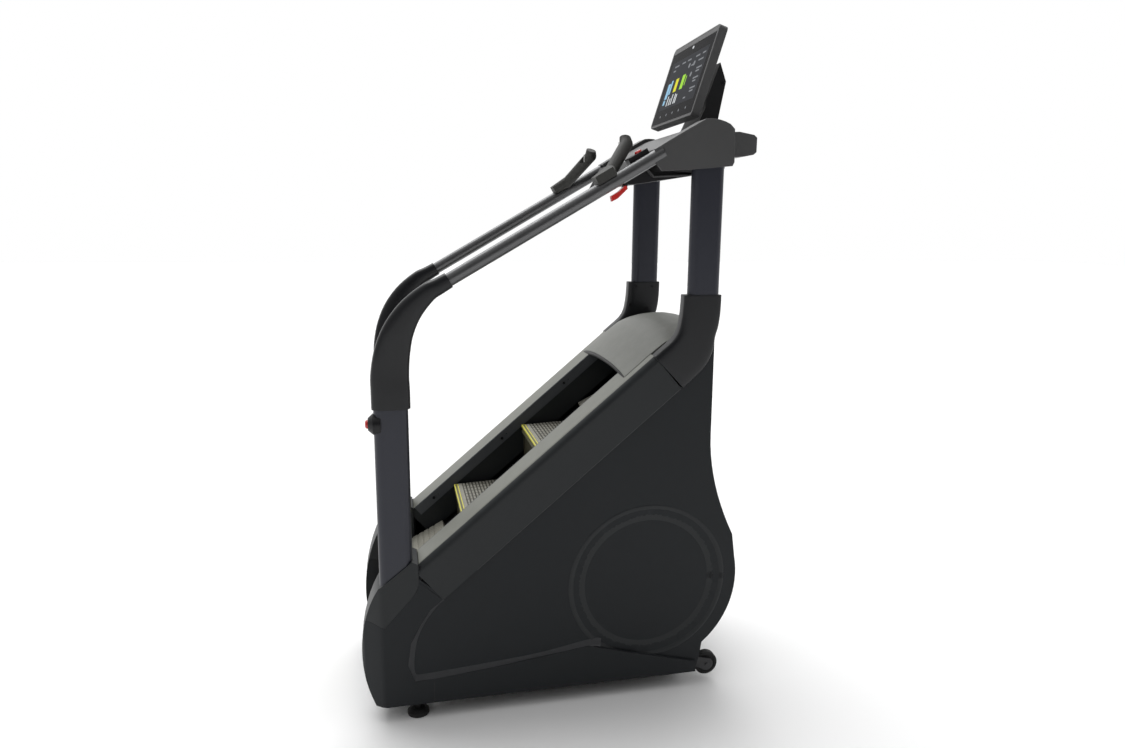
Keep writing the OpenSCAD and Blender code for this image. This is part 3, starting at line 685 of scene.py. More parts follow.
def spline(points, count):
    """Points of a smooth line through given points of any size."""
    out = []
    n = len(points)
    for k in range(count):
        t = k / (count - 1) * (n - 1)
        i = min(int(t), n - 2)
        f = t - i
        p0, p1, p2, p3 = (points[max(0, min(n - 1, j))] for j in (i - 1, i, i + 1, i + 2))
        out.append(
            [
                0.5 * (
                    2 * b + (c - a) * f + (
                        2 * a - 5 * b + 4 * c - d
                    ) * f * f + (3 * b - a - 3 * c + d) * f ** 3
                )
                for a, b, c, d in zip(p0, p1, p2, p3)
            ]
        )
    return out


def prism(name, outline, x0, x1):
    """A solid across the machine from a [y, z] outline in millimetres."""
    clear_selection()
    obj = ring([at(x0, y, z) for y, z in outline])
    obj.name = name
    edit_mode()
    mark_all()
    bpy.ops.mesh.edge_face_add()
    bpy.ops.mesh.extrude_region_move(TRANSFORM_OT_translate={"value": ((x1 - x0) / 1000, 0, 0)})
    object_mode()
    outward(obj)
    return obj


def none_selected(obj, kind):
    """Leaves a mesh with nothing selected, ready to pick its edges or faces."""
    pick(obj)
    edit_mode()
    bpy.ops.mesh.select_mode(type=kind)
    mark_all("DESELECT")
    object_mode()


def edges_where(obj, test):
    """Selects the edges whose two ends pass a test, and returns how many."""
    none_selected(obj, "EDGE")
    found = 0
    for e in obj.data.edges:
        a, b = (obj.data.vertices[i].co for i in e.vertices)
        e.select = test(a, b)
        found += e.select
    return found


def faces_where(obj, test):
    """Selects the faces that pass a test, and returns how many."""
    none_selected(obj, "FACE")
    found = 0
    for f in obj.data.polygons:
        f.select = test(f)
        found += f.select
    return found


def mirrored(obj, name, stands_for=(), body=None):
    """The same piece on the climber's left."""
    mesh = obj.data.copy()
    copy = new_object(name, mesh)
    pick(copy)
    for v in copy.data.vertices:
        v.co.x = -v.co.x
    edit_mode()
    mark_all()
    bpy.ops.mesh.flip_normals()
    object_mode()
    smooth(copy, 35)
    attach(copy, body or obj["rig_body"])
    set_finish(copy, obj["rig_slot"])
    if stands_for:
        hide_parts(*stands_for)
    return copy


def joined(parts, name):
    clear_selection()
    for p in parts:
        p.select_set(True)
    bpy.context.view_layer.objects.active = parts[0]
    if len(parts) > 1:
        bpy.ops.object.join()
    obj = bpy.context.object
    obj.name = name
    return obj


# ---------- operators ----------


# The finish of each material slot of the frame.
LOOKS = {
    "frame_steel": "frame_paint", "foot": "foot_rubber", "wheel": "foot_rubber", "panel": "shell_charcoal",
    "cover": "cover_charcoal", "guard": "guard_grey", "hood": "hood_grey", "post": "post_paint",
    "rail": "rail_paint", "sleeve": "sleeve_black", "console": "console_grey", "dark_plastic": "trim_black",
    "glass": "display_glass_black", "grip": "grip_rubber", "switch": "rocker_grey", "red": "button_red",
    "tread": "tread_ribbed", "carrier": "inner_black", "nose": "nose_yellow", "steel": "turned_steel",
    "chain": "chain_steel", "rotor": "rotor_metal", "belt": "belt_rubber",
}


class MACHINE_OT_materials(bpy.types.Operator):
    """Builds the shader groups and every finish, and puts a finish on each frame piece"""

    bl_idname = "machine.materials"
    bl_label = "Finishes"

    def execute(self, context):
        f = context.scene.machine_finish
        GROUPS["grain"] = build_grain_group()
        GROUPS["dust"] = build_dust_group()
        GROUPS["scuff"] = build_scuff_group()
        GROUPS["ribs"] = build_rib_group()
        moulded("shell_charcoal", tuple(f.shell), 0.50, 950.0, 0.3, specular=0.22)
        moulded("cover_charcoal", tuple(f.cover), 0.44, 900.0, 0.3, dust=0.35, specular=0.28)
        # Painted light: a paler copy of the cover plastic for the covers' top faces, standing for the light
        # from above.
        moulded("painted_top_light_grey", tuple(f.strip), 0.38, 850.0, 0.25, dust=0.3)
        moulded("hood_grey", tuple(f.hood), 0.48, 850.0, 0.3, dust=0.45)
        moulded("guard_grey", (0.062, 0.067, 0.074), 0.5, 800.0, 0.25, specular=0.4)
        moulded("sleeve_black", (0.0085, 0.009, 0.0105), 0.34, 700.0, 0.12, dust=0.12, specular=0.32)
        moulded("console_grey", tuple(f.console), 0.42, 900.0, 0.25, dust=0.3)
        moulded("trim_black", (0.007, 0.007, 0.008), 0.42, 800.0, 0.2, specular=0.3)
        moulded("inner_black", (0.008, 0.008, 0.009), 0.6, 600.0, 0.3, dust=0.5)
        # Grey of the display bezel; the same colour also paints the highlight line under the stringer
        # covers.
        moulded("bezel_grey", (0.060, 0.060, 0.061), 0.42, 800.0, 0.2)
        # Painted highlight: the ramps along the skirts' top edges are paler than the shells, standing for
        # the light on their soft ridge.
        moulded("lip_highlight_grey", (0.034, 0.035, 0.038), 0.5, 900.0, 0.25, specular=0.4)
        moulded("riser_olive", (0.045, 0.042, 0.026), 0.6, 600.0, 0.3, specular=0.2)
        # Painted shade: a darkened copy of the tread colour for the upper-run treads, showing between the
        # raised rib blocks as the shade in the grooves.
        moulded("tread_dark", (0.055, 0.053, 0.043), 0.6, 600.0, 0.3, specular=0.2)
        moulded("inner_shade", (0.004, 0.0045, 0.006), 0.6, 600.0, 0.3, dust=0.1, specular=0.15)
        moulded("nose_base", (0.075, 0.072, 0.030), 0.5, 700.0, 0.3)
        moulded("nose_yellow", tuple(f.yellow), 0.42, 700.0, 0.25, dust=0.1, scuff=0.5)
        moulded("rocker_grey", (0.33, 0.33, 0.32), 0.4, 600.0, 0.2)
        painted_metal("post_paint", tuple(f.post), 0.25, 0.42)
        painted_metal("rail_paint", tuple(f.rail), 0.75, 0.36, 0.35)
        painted_metal("frame_paint", (0.02, 0.02, 0.022), 0.1, 0.5)
        turned_steel("turned_steel", (0.46, 0.46, 0.47), 0.32)
        turned_steel("chain_steel", (0.16, 0.16, 0.165), 0.45)
        turned_steel("rotor_metal", (0.6, 0.61, 0.62), 0.28)
        turned_steel("screw_black", (0.03, 0.03, 0.032), 0.4)
        soft_rubber("grip_rubber", (0.034, 0.034, 0.031))
        soft_rubber("foot_rubber", (0.012, 0.012, 0.012), 0.7, 300.0)
        soft_rubber("belt_rubber", (0.012, 0.012, 0.012), 0.7, 300.0)
        gloss_plastic("button_red", tuple(f.red))
        display_face("display_glass_black")
        glowing("panel_glow", (0.034, 0.036, 0.042), 0.8)
        glowing("glow_white", (0.75, 0.78, 0.8), 0.9)
        glowing("glow_blue", (0.30, 0.55, 0.75), 1.0)
        glowing("glow_yellow", (0.75, 0.72, 0.03), 1.0)
        glowing("glow_green", (0.36, 0.72, 0.05), 1.0)
        glowing("glow_dim", (0.28, 0.29, 0.31), 0.8)
        tread_material("tread_ribbed", tuple(f.tread), context.scene.machine_shape.rib_pitch)
        slots = {p["node"]: p["material_slot"] for p in frame["record"]["subparts"]}
        for name, obj in frame["nodes"].items():
            material = MATERIALS[LOOKS[slots[name]]]
            for s in obj.material_slots:
                s.material = material
        return {"FINISHED"}


def between(table, value):
    """The value of a table of pairs at a place, by straight lines."""
    for (a, va), (b, vb) in zip(table, table[1:]):
        if value <= b:
            t = max(0.0, (value - a) / (b - a))
            return va + (vb - va) * t
    return table[-1][1]


HOOD_HALF_WIDTH = 261.5
HOOD_FRONT = 172
HOOD_LENGTH = 277
HOOD_FLATNESS = 2.3
HOOD_SHOULDER = 0.85
HOOD_CREST = [
    (172, 1083), (200, 1110), (225, 1134), (250, 1157), (275, 1179), (300, 1196), (330, 1211), (360, 1220),
    (395, 1225), (425, 1225), (449, 1221)
]
HOOD_EDGE = [(172, 1062.5), (256, 1134), (300, 1168), (330, 1180), (370, 1187), (449, 1190)]


def hood_height(x, y):
    u = min(1.0, abs(x) / HOOD_HALF_WIDTH)
    low, high = between(HOOD_EDGE, y), between(HOOD_CREST, y)
    return low + (high - low) * (1 - u ** HOOD_FLATNESS) ** HOOD_SHOULDER


def build_hood():
    """Crowned hood over the top of the flight, with its dark front lip."""
    clear_selection()
    bpy.ops.mesh.primitive_grid_add(x_subdivisions=48, y_subdivisions=36, size=1)
    hood = bpy.context.object
    for v in hood.data.vertices:
        x = v.co.x * 2 * HOOD_HALF_WIDTH
        y = HOOD_FRONT + (v.co.y + 0.5) * HOOD_LENGTH
        v.co = at(x, y, hood_height(x, y))
    front = at(0, HOOD_FRONT + 0.5, 0).y
    counts = {}
    for f in hood.data.polygons:
        for k in f.edge_keys:
            counts[k] = counts.get(k, 0) + 1
    none_selected(hood, "EDGE")
    for e in hood.data.edges:
        a, b = (hood.data.vertices[i].co for i in e.vertices)
        e.select = counts[tuple(sorted(e.vertices))] == 1 and not (a.y < front and b.y < front)
    edit_mode()
    bpy.ops.mesh.extrude_region_move(TRANSFORM_OT_translate={"value": (0, 0, -0.06)})
    mark_all()
    bpy.ops.mesh.normals_make_consistent(inside=False)
    object_mode()
    m = hood.modifiers.new("wall", "SOLIDIFY")
    m.thickness = 0.003
    m.offset = -1
    bpy.ops.object.modifier_apply(modifier=m.name)
    bevel(hood, 0.0012, 2, 50)
    smooth(hood, 60)
    settle(hood, "hood", "hood_grey", "hood", "machine", ("top_hood",))
    rings = []
    for i in range(41):
        x = -258 + 516 * i / 40
        z = hood_height(x, HOOD_FRONT)
        rings.append(
            [
                at(x, y, z + dz) for y,
                dz in (
                    (171.2, -1.5), (170.2, -4), (171, -9), (174, -15), (179, -15), (181, -3.5), (176, -3.2)
                )
            ]
        )
    lip = loft("hood_lip", rings)
    smooth(lip, 40)
    settle(lip, "hood_lip", "trim_black", "dark_plastic")


def offset_line(points, distance):
    """A line of [y, z] points moved sideways, to the right of its direction."""
    out = []
    for i, (y, z) in enumerate(points):
        ay, az = points[max(0, i - 1)]
        by, bz = points[min(len(points) - 1, i + 1)]
        n = math.hypot(by - ay, bz - az)
        out.append((y + distance * (bz - az) / n, z - distance * (by - ay) / n))
    return out


def on_both_sides(obj, stem, material, slot, angle=32):
    """Settles a piece on the climber's right, and the same piece on the left."""
    smooth(obj, angle)
    settle(obj, stem + "_right", material, slot)
    mirrored(obj, stem + "_left")


DISH_Y = 257
DISH_Z = 388


def build_borders():
    """Soft ramps painted pale as highlights, a line of painted highlight, seams and a piece of painted
    shade between the shells, and the rim of the round dish.
    """
    coarse = [
        (-404, 410), (-438, 378), (-474, 330), (-500, 270), (-511, 200), (-508, 150), (-488, 133),
        (-440, 133.5), (-372, 138.5), (-250, 147.5), (-95, 162), (60, 189), (100, 186)
    ]
    line = [tuple(p) for p in spline(coarse, 70)]
    steps = ((-4, 293), (-4, 304.6), (0, 304.6), (5, 303.4), (11, 299), (18, 296.6), (20, 293))
    offsets = {d: offset_line(line, -d) for d, _ in steps}
    rings = [[at(x, *offsets[d][i]) for d, x in steps] for i in range(len(line))]
    # The ramp's paler grey is a painted highlight on its soft ridge.
    ramp = loft("lip_right", rings)
    on_both_sides(ramp, "lip", "lip_highlight_grey", "panel", 60)
    backing = prism(
        "corner_back_right",
        [
            (-472, 470), (-395, 404), (-404, 395), (-440, 366), (-470, 320), (-500, 262), (-530, 262),
            (-530, 400)
        ],
        292.5, 305
    )
    bevel(backing, 0.001, 2, 30)
    on_both_sides(backing, "corner_back", "shell_charcoal", "panel")
    front = prism(
        "panel_front_right", [(-484, 122), (-522, 140), (-524, 290), (-470, 330), (-440, 330), (-440, 122)],
        291.5, 295.8
    )
    on_both_sides(front, "panel_front", "shell_charcoal", "panel")
    # Painted shade: a near-black piece behind the gap between corner cover and stringer cover, seen through
    # the gap as its shade.
    seam = prism("corner_gap_shade_right", [(-476, 430), (-467, 430), (-467, 512), (-476, 507)], 192, 303.4)
    on_both_sides(seam, "corner_gap_shade", "inner_shade", "panel")
    c, n = math.cos(FLIGHT_ANGLE), math.sin(FLIGHT_ANGLE)

    def along(s, d):
        return (s * c + d * n, STRIP_Z + s * n - d * c)

    # Painted highlight: a thin pale strip under the lower edge of each stringer cover, standing for the
    # light caught along that seam.
    highlight_line = prism(
        "cover_highlight_line_right", [along(-505, 135.6), along(334, 135.6), along(334, 138), along(-505, 138)],
        295.5, 303.6
    )
    bevel(highlight_line, 0.0008, 2, 30)
    on_both_sides(highlight_line, "cover_highlight_line", "bezel_grey", "panel")
    seam = prism(
        "skirt_seam_right", [(-434.6, 55), (-433.2, 55), (-433.2, 124), (-434.6, 124)], 303, 306.15
    )
    on_both_sides(seam, "skirt_seam", "inner_black", "panel")
    rings = []
    for i in range(97):
        a = 2 * math.pi * i / 96
        rings.append(
            [
                at(x, DISH_Y + r * math.cos(a), DISH_Z + r * math.sin(a)) for r,
                x in (
                    (264, 295), (262.5, 296.5), (258.5, 297.4), (253, 296.2), (246, 293.6), (222, 288.6),
                    (210, 287.5), (206, 286.4)
                )
            ]
        )
    rim = loft("dish_rim_right", rings)
    on_both_sides(rim, "dish_rim", "cover_charcoal", "panel", 60)


class MACHINE_OT_shells(bpy.types.Operator):
    """Side panels, covers, skirts, hood and rear cover with rounded edges"""

    bl_idname = "machine.shells"
    bl_label = "Shells"

    def execute(self, context):
        w = context.scene.machine_shape.edge_round
        for side in ("right", "left"):
            rounded_copy("side_panel_" + side, "panel_" + side, "shell_charcoal", "panel", width=0.0012)
            cover = rounded_copy(
                "stringer_cover_" + side, "stringer_" + side, "cover_charcoal", "cover", width=w
            )
            # Faces that look up the slope of the flight take the paler material: painted light from above
            # on the cover's top.
            cover.data.materials.append(MATERIALS["painted_top_light_grey"])
            top = Vector((0, -math.sin(FLIGHT_ANGLE), math.cos(FLIGHT_ANGLE)))
            for f in cover.data.polygons:
                f.material_index = 1 if f.normal.dot(top) > 0.93 else 0
            rounded_copy("side_skirt_" + side, "skirt_" + side, "shell_charcoal", "panel", width=w)
            rounded_copy("corner_cover_" + side, "corner_" + side, "cover_charcoal", "cover", width=w)
        build_hood()
        build_borders()
        rounded_copy("rear_cover", "back_cover", "shell_charcoal", "panel", width=w)
        return {"FINISHED"}


WING_X = 0.3195
WING_Z = 1.71
WING_ROUND = 0.011


def on_wing(a, b):
    """True for an edge along the top of a console wing's outer face."""
    return abs(a.x) > WING_X and abs(b.x) > WING_X and min(a.z, b.z) > WING_Z


# Frame piece, name, finish, slot, edge width in metres and, where it moves, its body.
PLAIN = (
    ("base_frame", "frame", "frame_paint", "frame_steel", 0.0012),
    ("levelling_feet", "feet", "foot_rubber", "foot", 0.0025),
    ("wheel_bracket", "wheel_brackets", "frame_paint", "frame_steel", 0.001),
    ("transport_wheel_right", "wheel_r", "foot_rubber", "wheel", 0.003, "wheel_right"),
    ("transport_wheel_left", "wheel_l", "foot_rubber", "wheel", 0.003, "wheel_left"),
    ("inner_guard_right", "guard_right", "guard_grey", "guard", 0.0008),
    ("inner_guard_left", "guard_left", "guard_grey", "guard", 0.0008),
    ("kick_panel", "kick", "shell_charcoal", "panel", 0.001),
    ("entry_post_right", "entry_upright_right", "post_paint", "post", 0.0008),
    ("entry_post_left", "entry_upright_left", "post_paint", "post", 0.0008),
    ("console_post_right", "console_upright_right", "post_paint", "post", 0.0008),
    ("console_post_left", "console_upright_left", "post_paint", "post", 0.0008),
    ("handrail_right", "rail_right", "rail_paint", "rail", 0.0008),
    ("handrail_left", "rail_left", "rail_paint", "rail", 0.0008),
    ("console_shell", "console", "console_grey", "console", 0.0030),
    ("console_underside", "console_bottom", "trim_black", "dark_plastic", 0.002),
    ("console_rear_box", "console_back", "console_grey", "console", 0.004),
    ("display_bracket", "display_mount", "trim_black", "dark_plastic", 0.002),
    ("display_housing", "display_case", "bezel_grey", "dark_plastic", 0.0024),
    ("grip_right", "hand_grip_right", "grip_rubber", "grip", 0.002),
    ("grip_left", "hand_grip_left", "grip_rubber", "grip", 0.002),
    ("rocker_right", "rocker_r", "rocker_grey", "switch", 0.0012, "rocker_switch_right"),
    ("rocker_left", "rocker_l", "rocker_grey", "switch", 0.0012, "rocker_switch_left"),
    ("control_pod", "switch_pod", "trim_black", "dark_plastic", 0.0025),
    ("stop_button", "pod_button", "button_red", "red", 0.0015, "console_stop"),
    ("brake_lever", "brake_handle", "button_red", "red", 0.002, "hand_brake"),
    ("post_stop_housing", "stop_housing", "trim_black", "dark_plastic", 0.0015),
    ("post_stop_button", "stop_knob", "button_red", "red", 0.0018, "post_stop"),
    # The upper-run treads take the darkened tread colour: painted shade between the rib blocks.
    ("treads_upper_run", "treads_run", "tread_dark", "tread", 0.0006, "upper_run"),
    ("carriers_upper_run", "carriers_run", "riser_olive", "carrier", 0.0006, "upper_run"),
    ("noses_upper_run", "noses_run", "nose_base", "nose", 0.0012, "upper_run"),
    ("tread_bottom_turn", "tread_low", "tread_ribbed", "tread", 0.0006, "lower_turn"),
    ("nose_bottom_turn", "nose_low", "nose_yellow", "nose", 0.0012, "lower_turn"),
)


class MACHINE_OT_plain(bpy.types.Operator):
    """Posts, rails, feet, wheels, console parts, controls and steps with rounded edges"""

    bl_idname = "machine.plain"
    bl_label = "Frame and controls"

    def execute(self, context):
        for cad, name, material, slot, width, *moving in PLAIN:
            wide = (on_wing, WING_ROUND) if cad == "console_shell" else None
            body = moving[0] if moving else "machine"
            rounded_copy(cad, name, material, slot, body, width, 2, 30, wide=wide)
        return {"FINISHED"}


RAIL_TILT = math.degrees(RAIL_ANGLE) - 90
# Middle x, y and z, tilt in degrees, length and width of each ring.
RAIL_SLEEVE = [
    (282, -538, 996, 0, 112, 54),
    (283, -538, 1048, 0, 112, 54),
    (283, -538, 1100, -2, 110, 54),
    (288, -529, 1165, -11, 102, 52),
    (295, -509, 1228, -25, 88, 49),
    (300, -474, 1286, -40, 71, 46),
    (304, -426, 1334, -54, 55, 45),
    (305, -396, rail_height(-396), RAIL_TILT, 49, 45),
    (305, -366, rail_height(-366), RAIL_TILT, 46, 45),
]
# y and z of the front and of the back of each ring.
FOOT_SLEEVE = [
    (344, 1318, 466, 1318),
    (343, 1290, 466, 1284),
    (340, 1250, 464, 1248),
    (332, 1210, 459, 1215),
    (318, 1186, 452, 1190),
    (301, 1169.5, 444, 1140),
    (286, 1157, 424, 1098),
    (270, 1143.5, 392, 1064),
    (254.5, 1130.0, 352, 1028),
]


class MACHINE_OT_sleeves(bpy.types.Operator):
    """Moulded sleeves from the entry posts to the handrails, and round the feet of the console posts"""

    bl_idname = "machine.sleeves"
    bl_label = "Sleeves"

    def execute(self, context):
        count = context.scene.machine_shape.sleeve_detail
        rings = []
        for x, y, z, tilt, length, width in spline(RAIL_SLEEVE, 34):
            t = math.radians(tilt)
            along = Vector((0, math.cos(t), math.sin(t))) / 1000
            rings.append(oval_points(at(x, y, z), along, Vector((0.001, 0, 0)), length, width, count, 2.7))
        sleeve = loft("rail_sleeve_right", rings)
        bevel(sleeve, 0.0014, 2, 60)
        smooth(sleeve, 50)
        settle(sleeve, "rail_sleeve_right", "sleeve_black", "sleeve", "machine", ("handrail_sleeve_right",))
        mirrored(sleeve, "rail_sleeve_left", ("handrail_sleeve_left",))

        rings = []
        for fy, fz, by, bz in spline(FOOT_SLEEVE, 30):
            front, back = at(287, fy, fz), at(287, by, bz)
            middle = (front + back) / 2
            length = (back - front).length * 1000
            rings.append(
                oval_points(middle, (back - front) / length, Vector((0.001, 0, 0)), length, 50, count, 5.5)
            )
        foot = loft("post_foot_right", rings)
        bevel(foot, 0.0012, 2, 60)
        smooth(foot, 50)
        settle(foot, "post_foot_right", "sleeve_black", "sleeve", "machine", ("post_sleeve_right",))
        mirrored(foot, "post_foot_left", ("post_sleeve_left",))
        return {"FINISHED"}


DISPLAY_Y = 386
DISPLAY_Z = 1859
DISPLAY_SIN = 0.3007
DISPLAY_COS = 0.9537


def on_display(x, y, z=0.0):
    """A point on the display: x across, y up the glass, z out of its front, in millimetres."""
    back = DISPLAY_Y + DISPLAY_SIN * y - DISPLAY_COS * z
    return at(x, back, DISPLAY_Z + DISPLAY_COS * y + DISPLAY_SIN * z)


MARK_LOW = -0.5
MARK_HIGH = -0.3


def slab(x0, x1, y0, y1, z0, z1, place=on_display, soft=0.0):
    """A block in a local frame given by its place function."""
    clear_selection()
    bpy.ops.mesh.primitive_cube_add(size=1)
    obj = bpy.context.object
    for v in obj.data.vertices:
        v.co = place(*((b if c > 0 else a) for c, a, b in zip(v.co, (x0, y0, z0), (x1, y1, z1))))
    outward(obj)
    if soft:
        bevel(obj, soft / 1000, 2, 30)
    return obj


def disc(x, y, radius, z0, z1, place=on_display, count=24, squeeze=1.0):
    """A short round plug in a local frame."""
    clear_selection()
    bpy.ops.mesh.primitive_cylinder_add(vertices=count, radius=1, depth=1)
    obj = bpy.context.object
    for v in obj.data.vertices:
        px, py, pz = v.co
        v.co = place(x + px * radius, y + py * radius * squeeze, z1 if pz > 0 else z0)
    outward(obj)
    return obj


def mark(x0, x1, y0, y1):
    """A thin lit block on the display."""
    return slab(x0, x1, y0, y1, MARK_LOW, MARK_HIGH)


# Left edge, lower edge and width of each dim stroke, in millimetres on the display.
DIM_MARKS = (
    (-130, 205, 40), (-60, 205, 30), (-10, 205, 30), (60, 205, 34), (116, 205, 26), (-132, 190, 22),
    (96, 186, 40), (100, 160, 44), (100, 150, 30), (96, 128, 44), (100, 118, 26), (96, 96, 44),
    (100, 86, 30), (60, 70, 20), (40, 180, 22)
)


class MACHINE_OT_display(bpy.types.Operator):
    """Glass of the display with its lit panel and generic marks"""

    bl_idname = "machine.display"
    bl_label = "Display"

    def execute(self, context):
        glass = slab(-186, 186, 9, 260, -3.1, -0.6, soft=0.5)
        smooth(glass)
        settle(glass, "display_front", "display_glass_black", "glass", "machine", ("display_glass",))
        rim = slab(-190, 190, 260.3, 276, -3.1, -0.2, soft=0.8)
        sides = [
            slab(side * 188 - 1.8, side * 188 + 1.8, 7, 260.3, -3.1, -0.2, soft=0.6) for side in (-1, 1)
        ]
        bottom = slab(-190, 190, 6, 8.8, -3.1, -0.2, soft=0.6)
        frame_rim = joined([rim, bottom, *sides], "display_rim")
        smooth(frame_rim)
        settle(frame_rim, "display_rim", "bezel_grey", "dark_plastic")
        lit = slab(-160, 160, 58, 226, -0.6, -0.44)
        smooth(lit)
        settle(lit, "lit_panel", "panel_glow", "glass")
        marks = {
            "glow_blue": [mark(-140, -116, 96, 150), mark(-112, -98, 110, 158), mark(-140, -122, 76, 92)],
            "glow_yellow": [mark(-70, -44, 112, 157)],
            "glow_green": [mark(-12, 14, 112, 160), mark(24, 30, 120, 152)],
            "glow_white": [
                mark(x, x + 8, 68, 68 + h) for x,
                h in ((-100, 34), (-78, 24), (-60, 36), (-34, 34), (-20, 30))
            ]
            + [disc(0, 250, 7, -0.6, -0.3, squeeze=0.7)],
            "glow_dim": [mark(x, x + w, y, y + 5) for x, y, w in DIM_MARKS]
            + [disc(x, 34, 5, -0.6, -0.3, count=4) for x in (-120, -62, -4, 54, 116)]
            + [disc(x, y, 8, -0.5, -0.3, count=20) for x, y in ((62, 186), (62, 150), (20, 186))],
        }
        for material, parts in marks.items():
            obj = joined(parts, material)
            smooth(obj)
            settle(obj, "marks_" + material[5:], material, "glass")
        return {"FINISHED"}


STEP_TILT = math.radians(3)
STEP_NOSES = ((-326, 601), (-79, 811))


class MACHINE_OT_noses(bpy.types.Operator):
    """Yellow lines round the nose of each step on the upper run"""

    bl_idname = "machine.noses"
    bl_label = "Step noses"

    def execute(self, context):
        for i, (ny, nz) in enumerate(STEP_NOSES):

            def place(x, y, z):
                return at(
                    x, ny + y * math.cos(STEP_TILT) - z * math.sin(STEP_TILT),
                    nz + y * math.sin(STEP_TILT) + z * math.cos(STEP_TILT)
                )

            parts = [
                slab(-171, 171, -0.7, 3.4, -6.5, 0.7, place, 0.8),
                slab(-171, 171, 10.2, 13.8, -0.9, 0.7, place, 0.6),
                slab(-171, -167.4, 1, 13, -0.9, 0.7, place, 0.6),
                slab(167.4, 171, 1, 13, -0.9, 0.7, place, 0.6),
            ]
            lines = joined(parts, "nose_lines")
            smooth(lines)
            settle(lines, "nose_lines_%d" % (i + 1), "nose_yellow", "nose", "upper_run")
            gap = slab(-168, 168, 2.5, 11, -0.9, 0.2, place, 0.3)
            smooth(gap)
            settle(gap, "nose_gap_%d" % (i + 1), "nose_base", "nose", "upper_run")
            band = slab(-171, 171, 14.2, 27, -0.9, 0.9, place, 0.5)
            ribs = slab(-170, -146.5, 31, 37.6, -0.6, 1.1, place, 0.7)
            pick(ribs)
            for steps, offset in (
                (12, (0.0289, 0, 0)), (18, (0, 0.0118 * math.cos(STEP_TILT), 0.0118 * math.sin(STEP_TILT)))
            ):
                m = ribs.modifiers.new("repeat", "ARRAY")
                m.count = steps
                m.use_relative_offset = False
                m.use_constant_offset = True
                m.constant_offset_displace = offset
                bpy.ops.object.modifier_apply(modifier=m.name)
            top = joined([band, ribs], "tread_ribs")
            smooth(top)
            settle(top, "tread_ribs_%d" % (i + 1), "tread_ribbed", "tread", "upper_run")
        return {"FINISHED"}


def screw_at(x, y, z, side):
    """A socket screw whose head faces along +x or -x."""
    radius = bpy.context.scene.machine_shape.screw_radius * 1000

    def place(a, b, c):
        return at(x + side * c, y + a * side, z + b)

    head = disc(0, 0, radius, -1.5, 2.2, place, 28)
    count = faces_where(head, lambda f: f.normal.x * side > 0.9)
    if not count:
        raise RuntimeError("A screw head has no front face")
    edit_mode()
    bpy.ops.mesh.inset(thickness=0.0022)
    bpy.ops.mesh.extrude_region_move(TRANSFORM_OT_translate={"value": (-side * 0.0016, 0, 0)})
    object_mode()
    bevel(head, 0.0005, 2, 40)
    return head


GUARD_SCREWS = ((-399, 551), (-149, 761), (80, 958))
SLEEVE_SCREWS = ((370, 1303), (433, 1302), (348, 1232), (416, 1220))
SCREWS = {
    "guard_screws": [(186, y, z, -1) for y, z in GUARD_SCREWS],
    "guard_screws_left": [(-186, y, z, 1) for y, z in GUARD_SCREWS],
    "sleeve_screws": [(262.5, y, z, -1) for y, z in SLEEVE_SCREWS],
    "sleeve_screws_left": [(-262.5, y, z, 1) for y, z in SLEEVE_SCREWS],
    "mount_screws": [(75, 537, 1978, 1), (-75, 537, 1978, -1)],
}


class MACHINE_OT_screws(bpy.types.Operator):
    """Screws of the guards, sleeves and display mount"""

    bl_idname = "machine.screws"
    bl_label = "Screws"

    def execute(self, context):
        for name, places in SCREWS.items():
            obj = joined([screw_at(*p) for p in places], name)
            smooth(obj)
            settle(obj, name, "screw_black", "steel")
        return {"FINISHED"}


# Yaw, pitch and roll in radians, and the place in millimetres.
CAMERA_TURN = (0.2172, 0.1873, 0.0082)
CAMERA_PLACE = (2547.4, -528.7, 1521.8)
CAMERA_LENS = 25.005


def build_camera(context):
    yaw, pitch, roll = CAMERA_TURN
    fw = Vector((-math.cos(yaw) * math.cos(pitch), math.sin(yaw) * math.cos(pitch), -math.sin(pitch)))
    rt = Vector((math.sin(yaw), math.cos(yaw), 0))
    up = rt.cross(fw)
    r2 = rt * math.cos(roll) + up * math.sin(roll)
    u2 = -rt * math.sin(roll) + up * math.cos(roll)
    data = bpy.data.cameras.new("studio_camera")
    data.sensor_width = 36.0
    data.lens = CAMERA_LENS
    data.clip_start = 0.05
    data.clip_end = 100
    cam = new_object("studio_camera", data)
    place = at(*CAMERA_PLACE)
    cam.matrix_world = Matrix(
        (
            (r2.x, u2.x, -fw.x, place.x), (r2.y, u2.y, -fw.y, place.y), (r2.z, u2.z, -fw.z, place.z),
            (0, 0, 0, 1)
        )
    )
    context.scene.camera = cam


def build_floor(s):
    clear_selection()
    bpy.ops.mesh.primitive_plane_add(size=60, location=(0, 0, 0))
    floor = bpy.context.object
    floor.name = "floor"
    m = bpy.data.materials.new("studio_floor")
    m.use_nodes = True
    t = m.node_tree
    shader = t.nodes["Principled BSDF"]
    place_n = node(t, "ShaderNodeTexCoord")
    mottled = mix_colour(
        t, remap(t, noise(t, place_n.outputs["Object"], 0.8, 3.0), 0.3, 0.7, 0.0, 1.0), tuple(s.floor),
        tuple(c * 0.985 for c in s.floor)
    )
    t.links.new(mottled, shader.inputs["Base Color"])
    put(shader, Roughness=0.9)
    floor.data.materials.append(m)


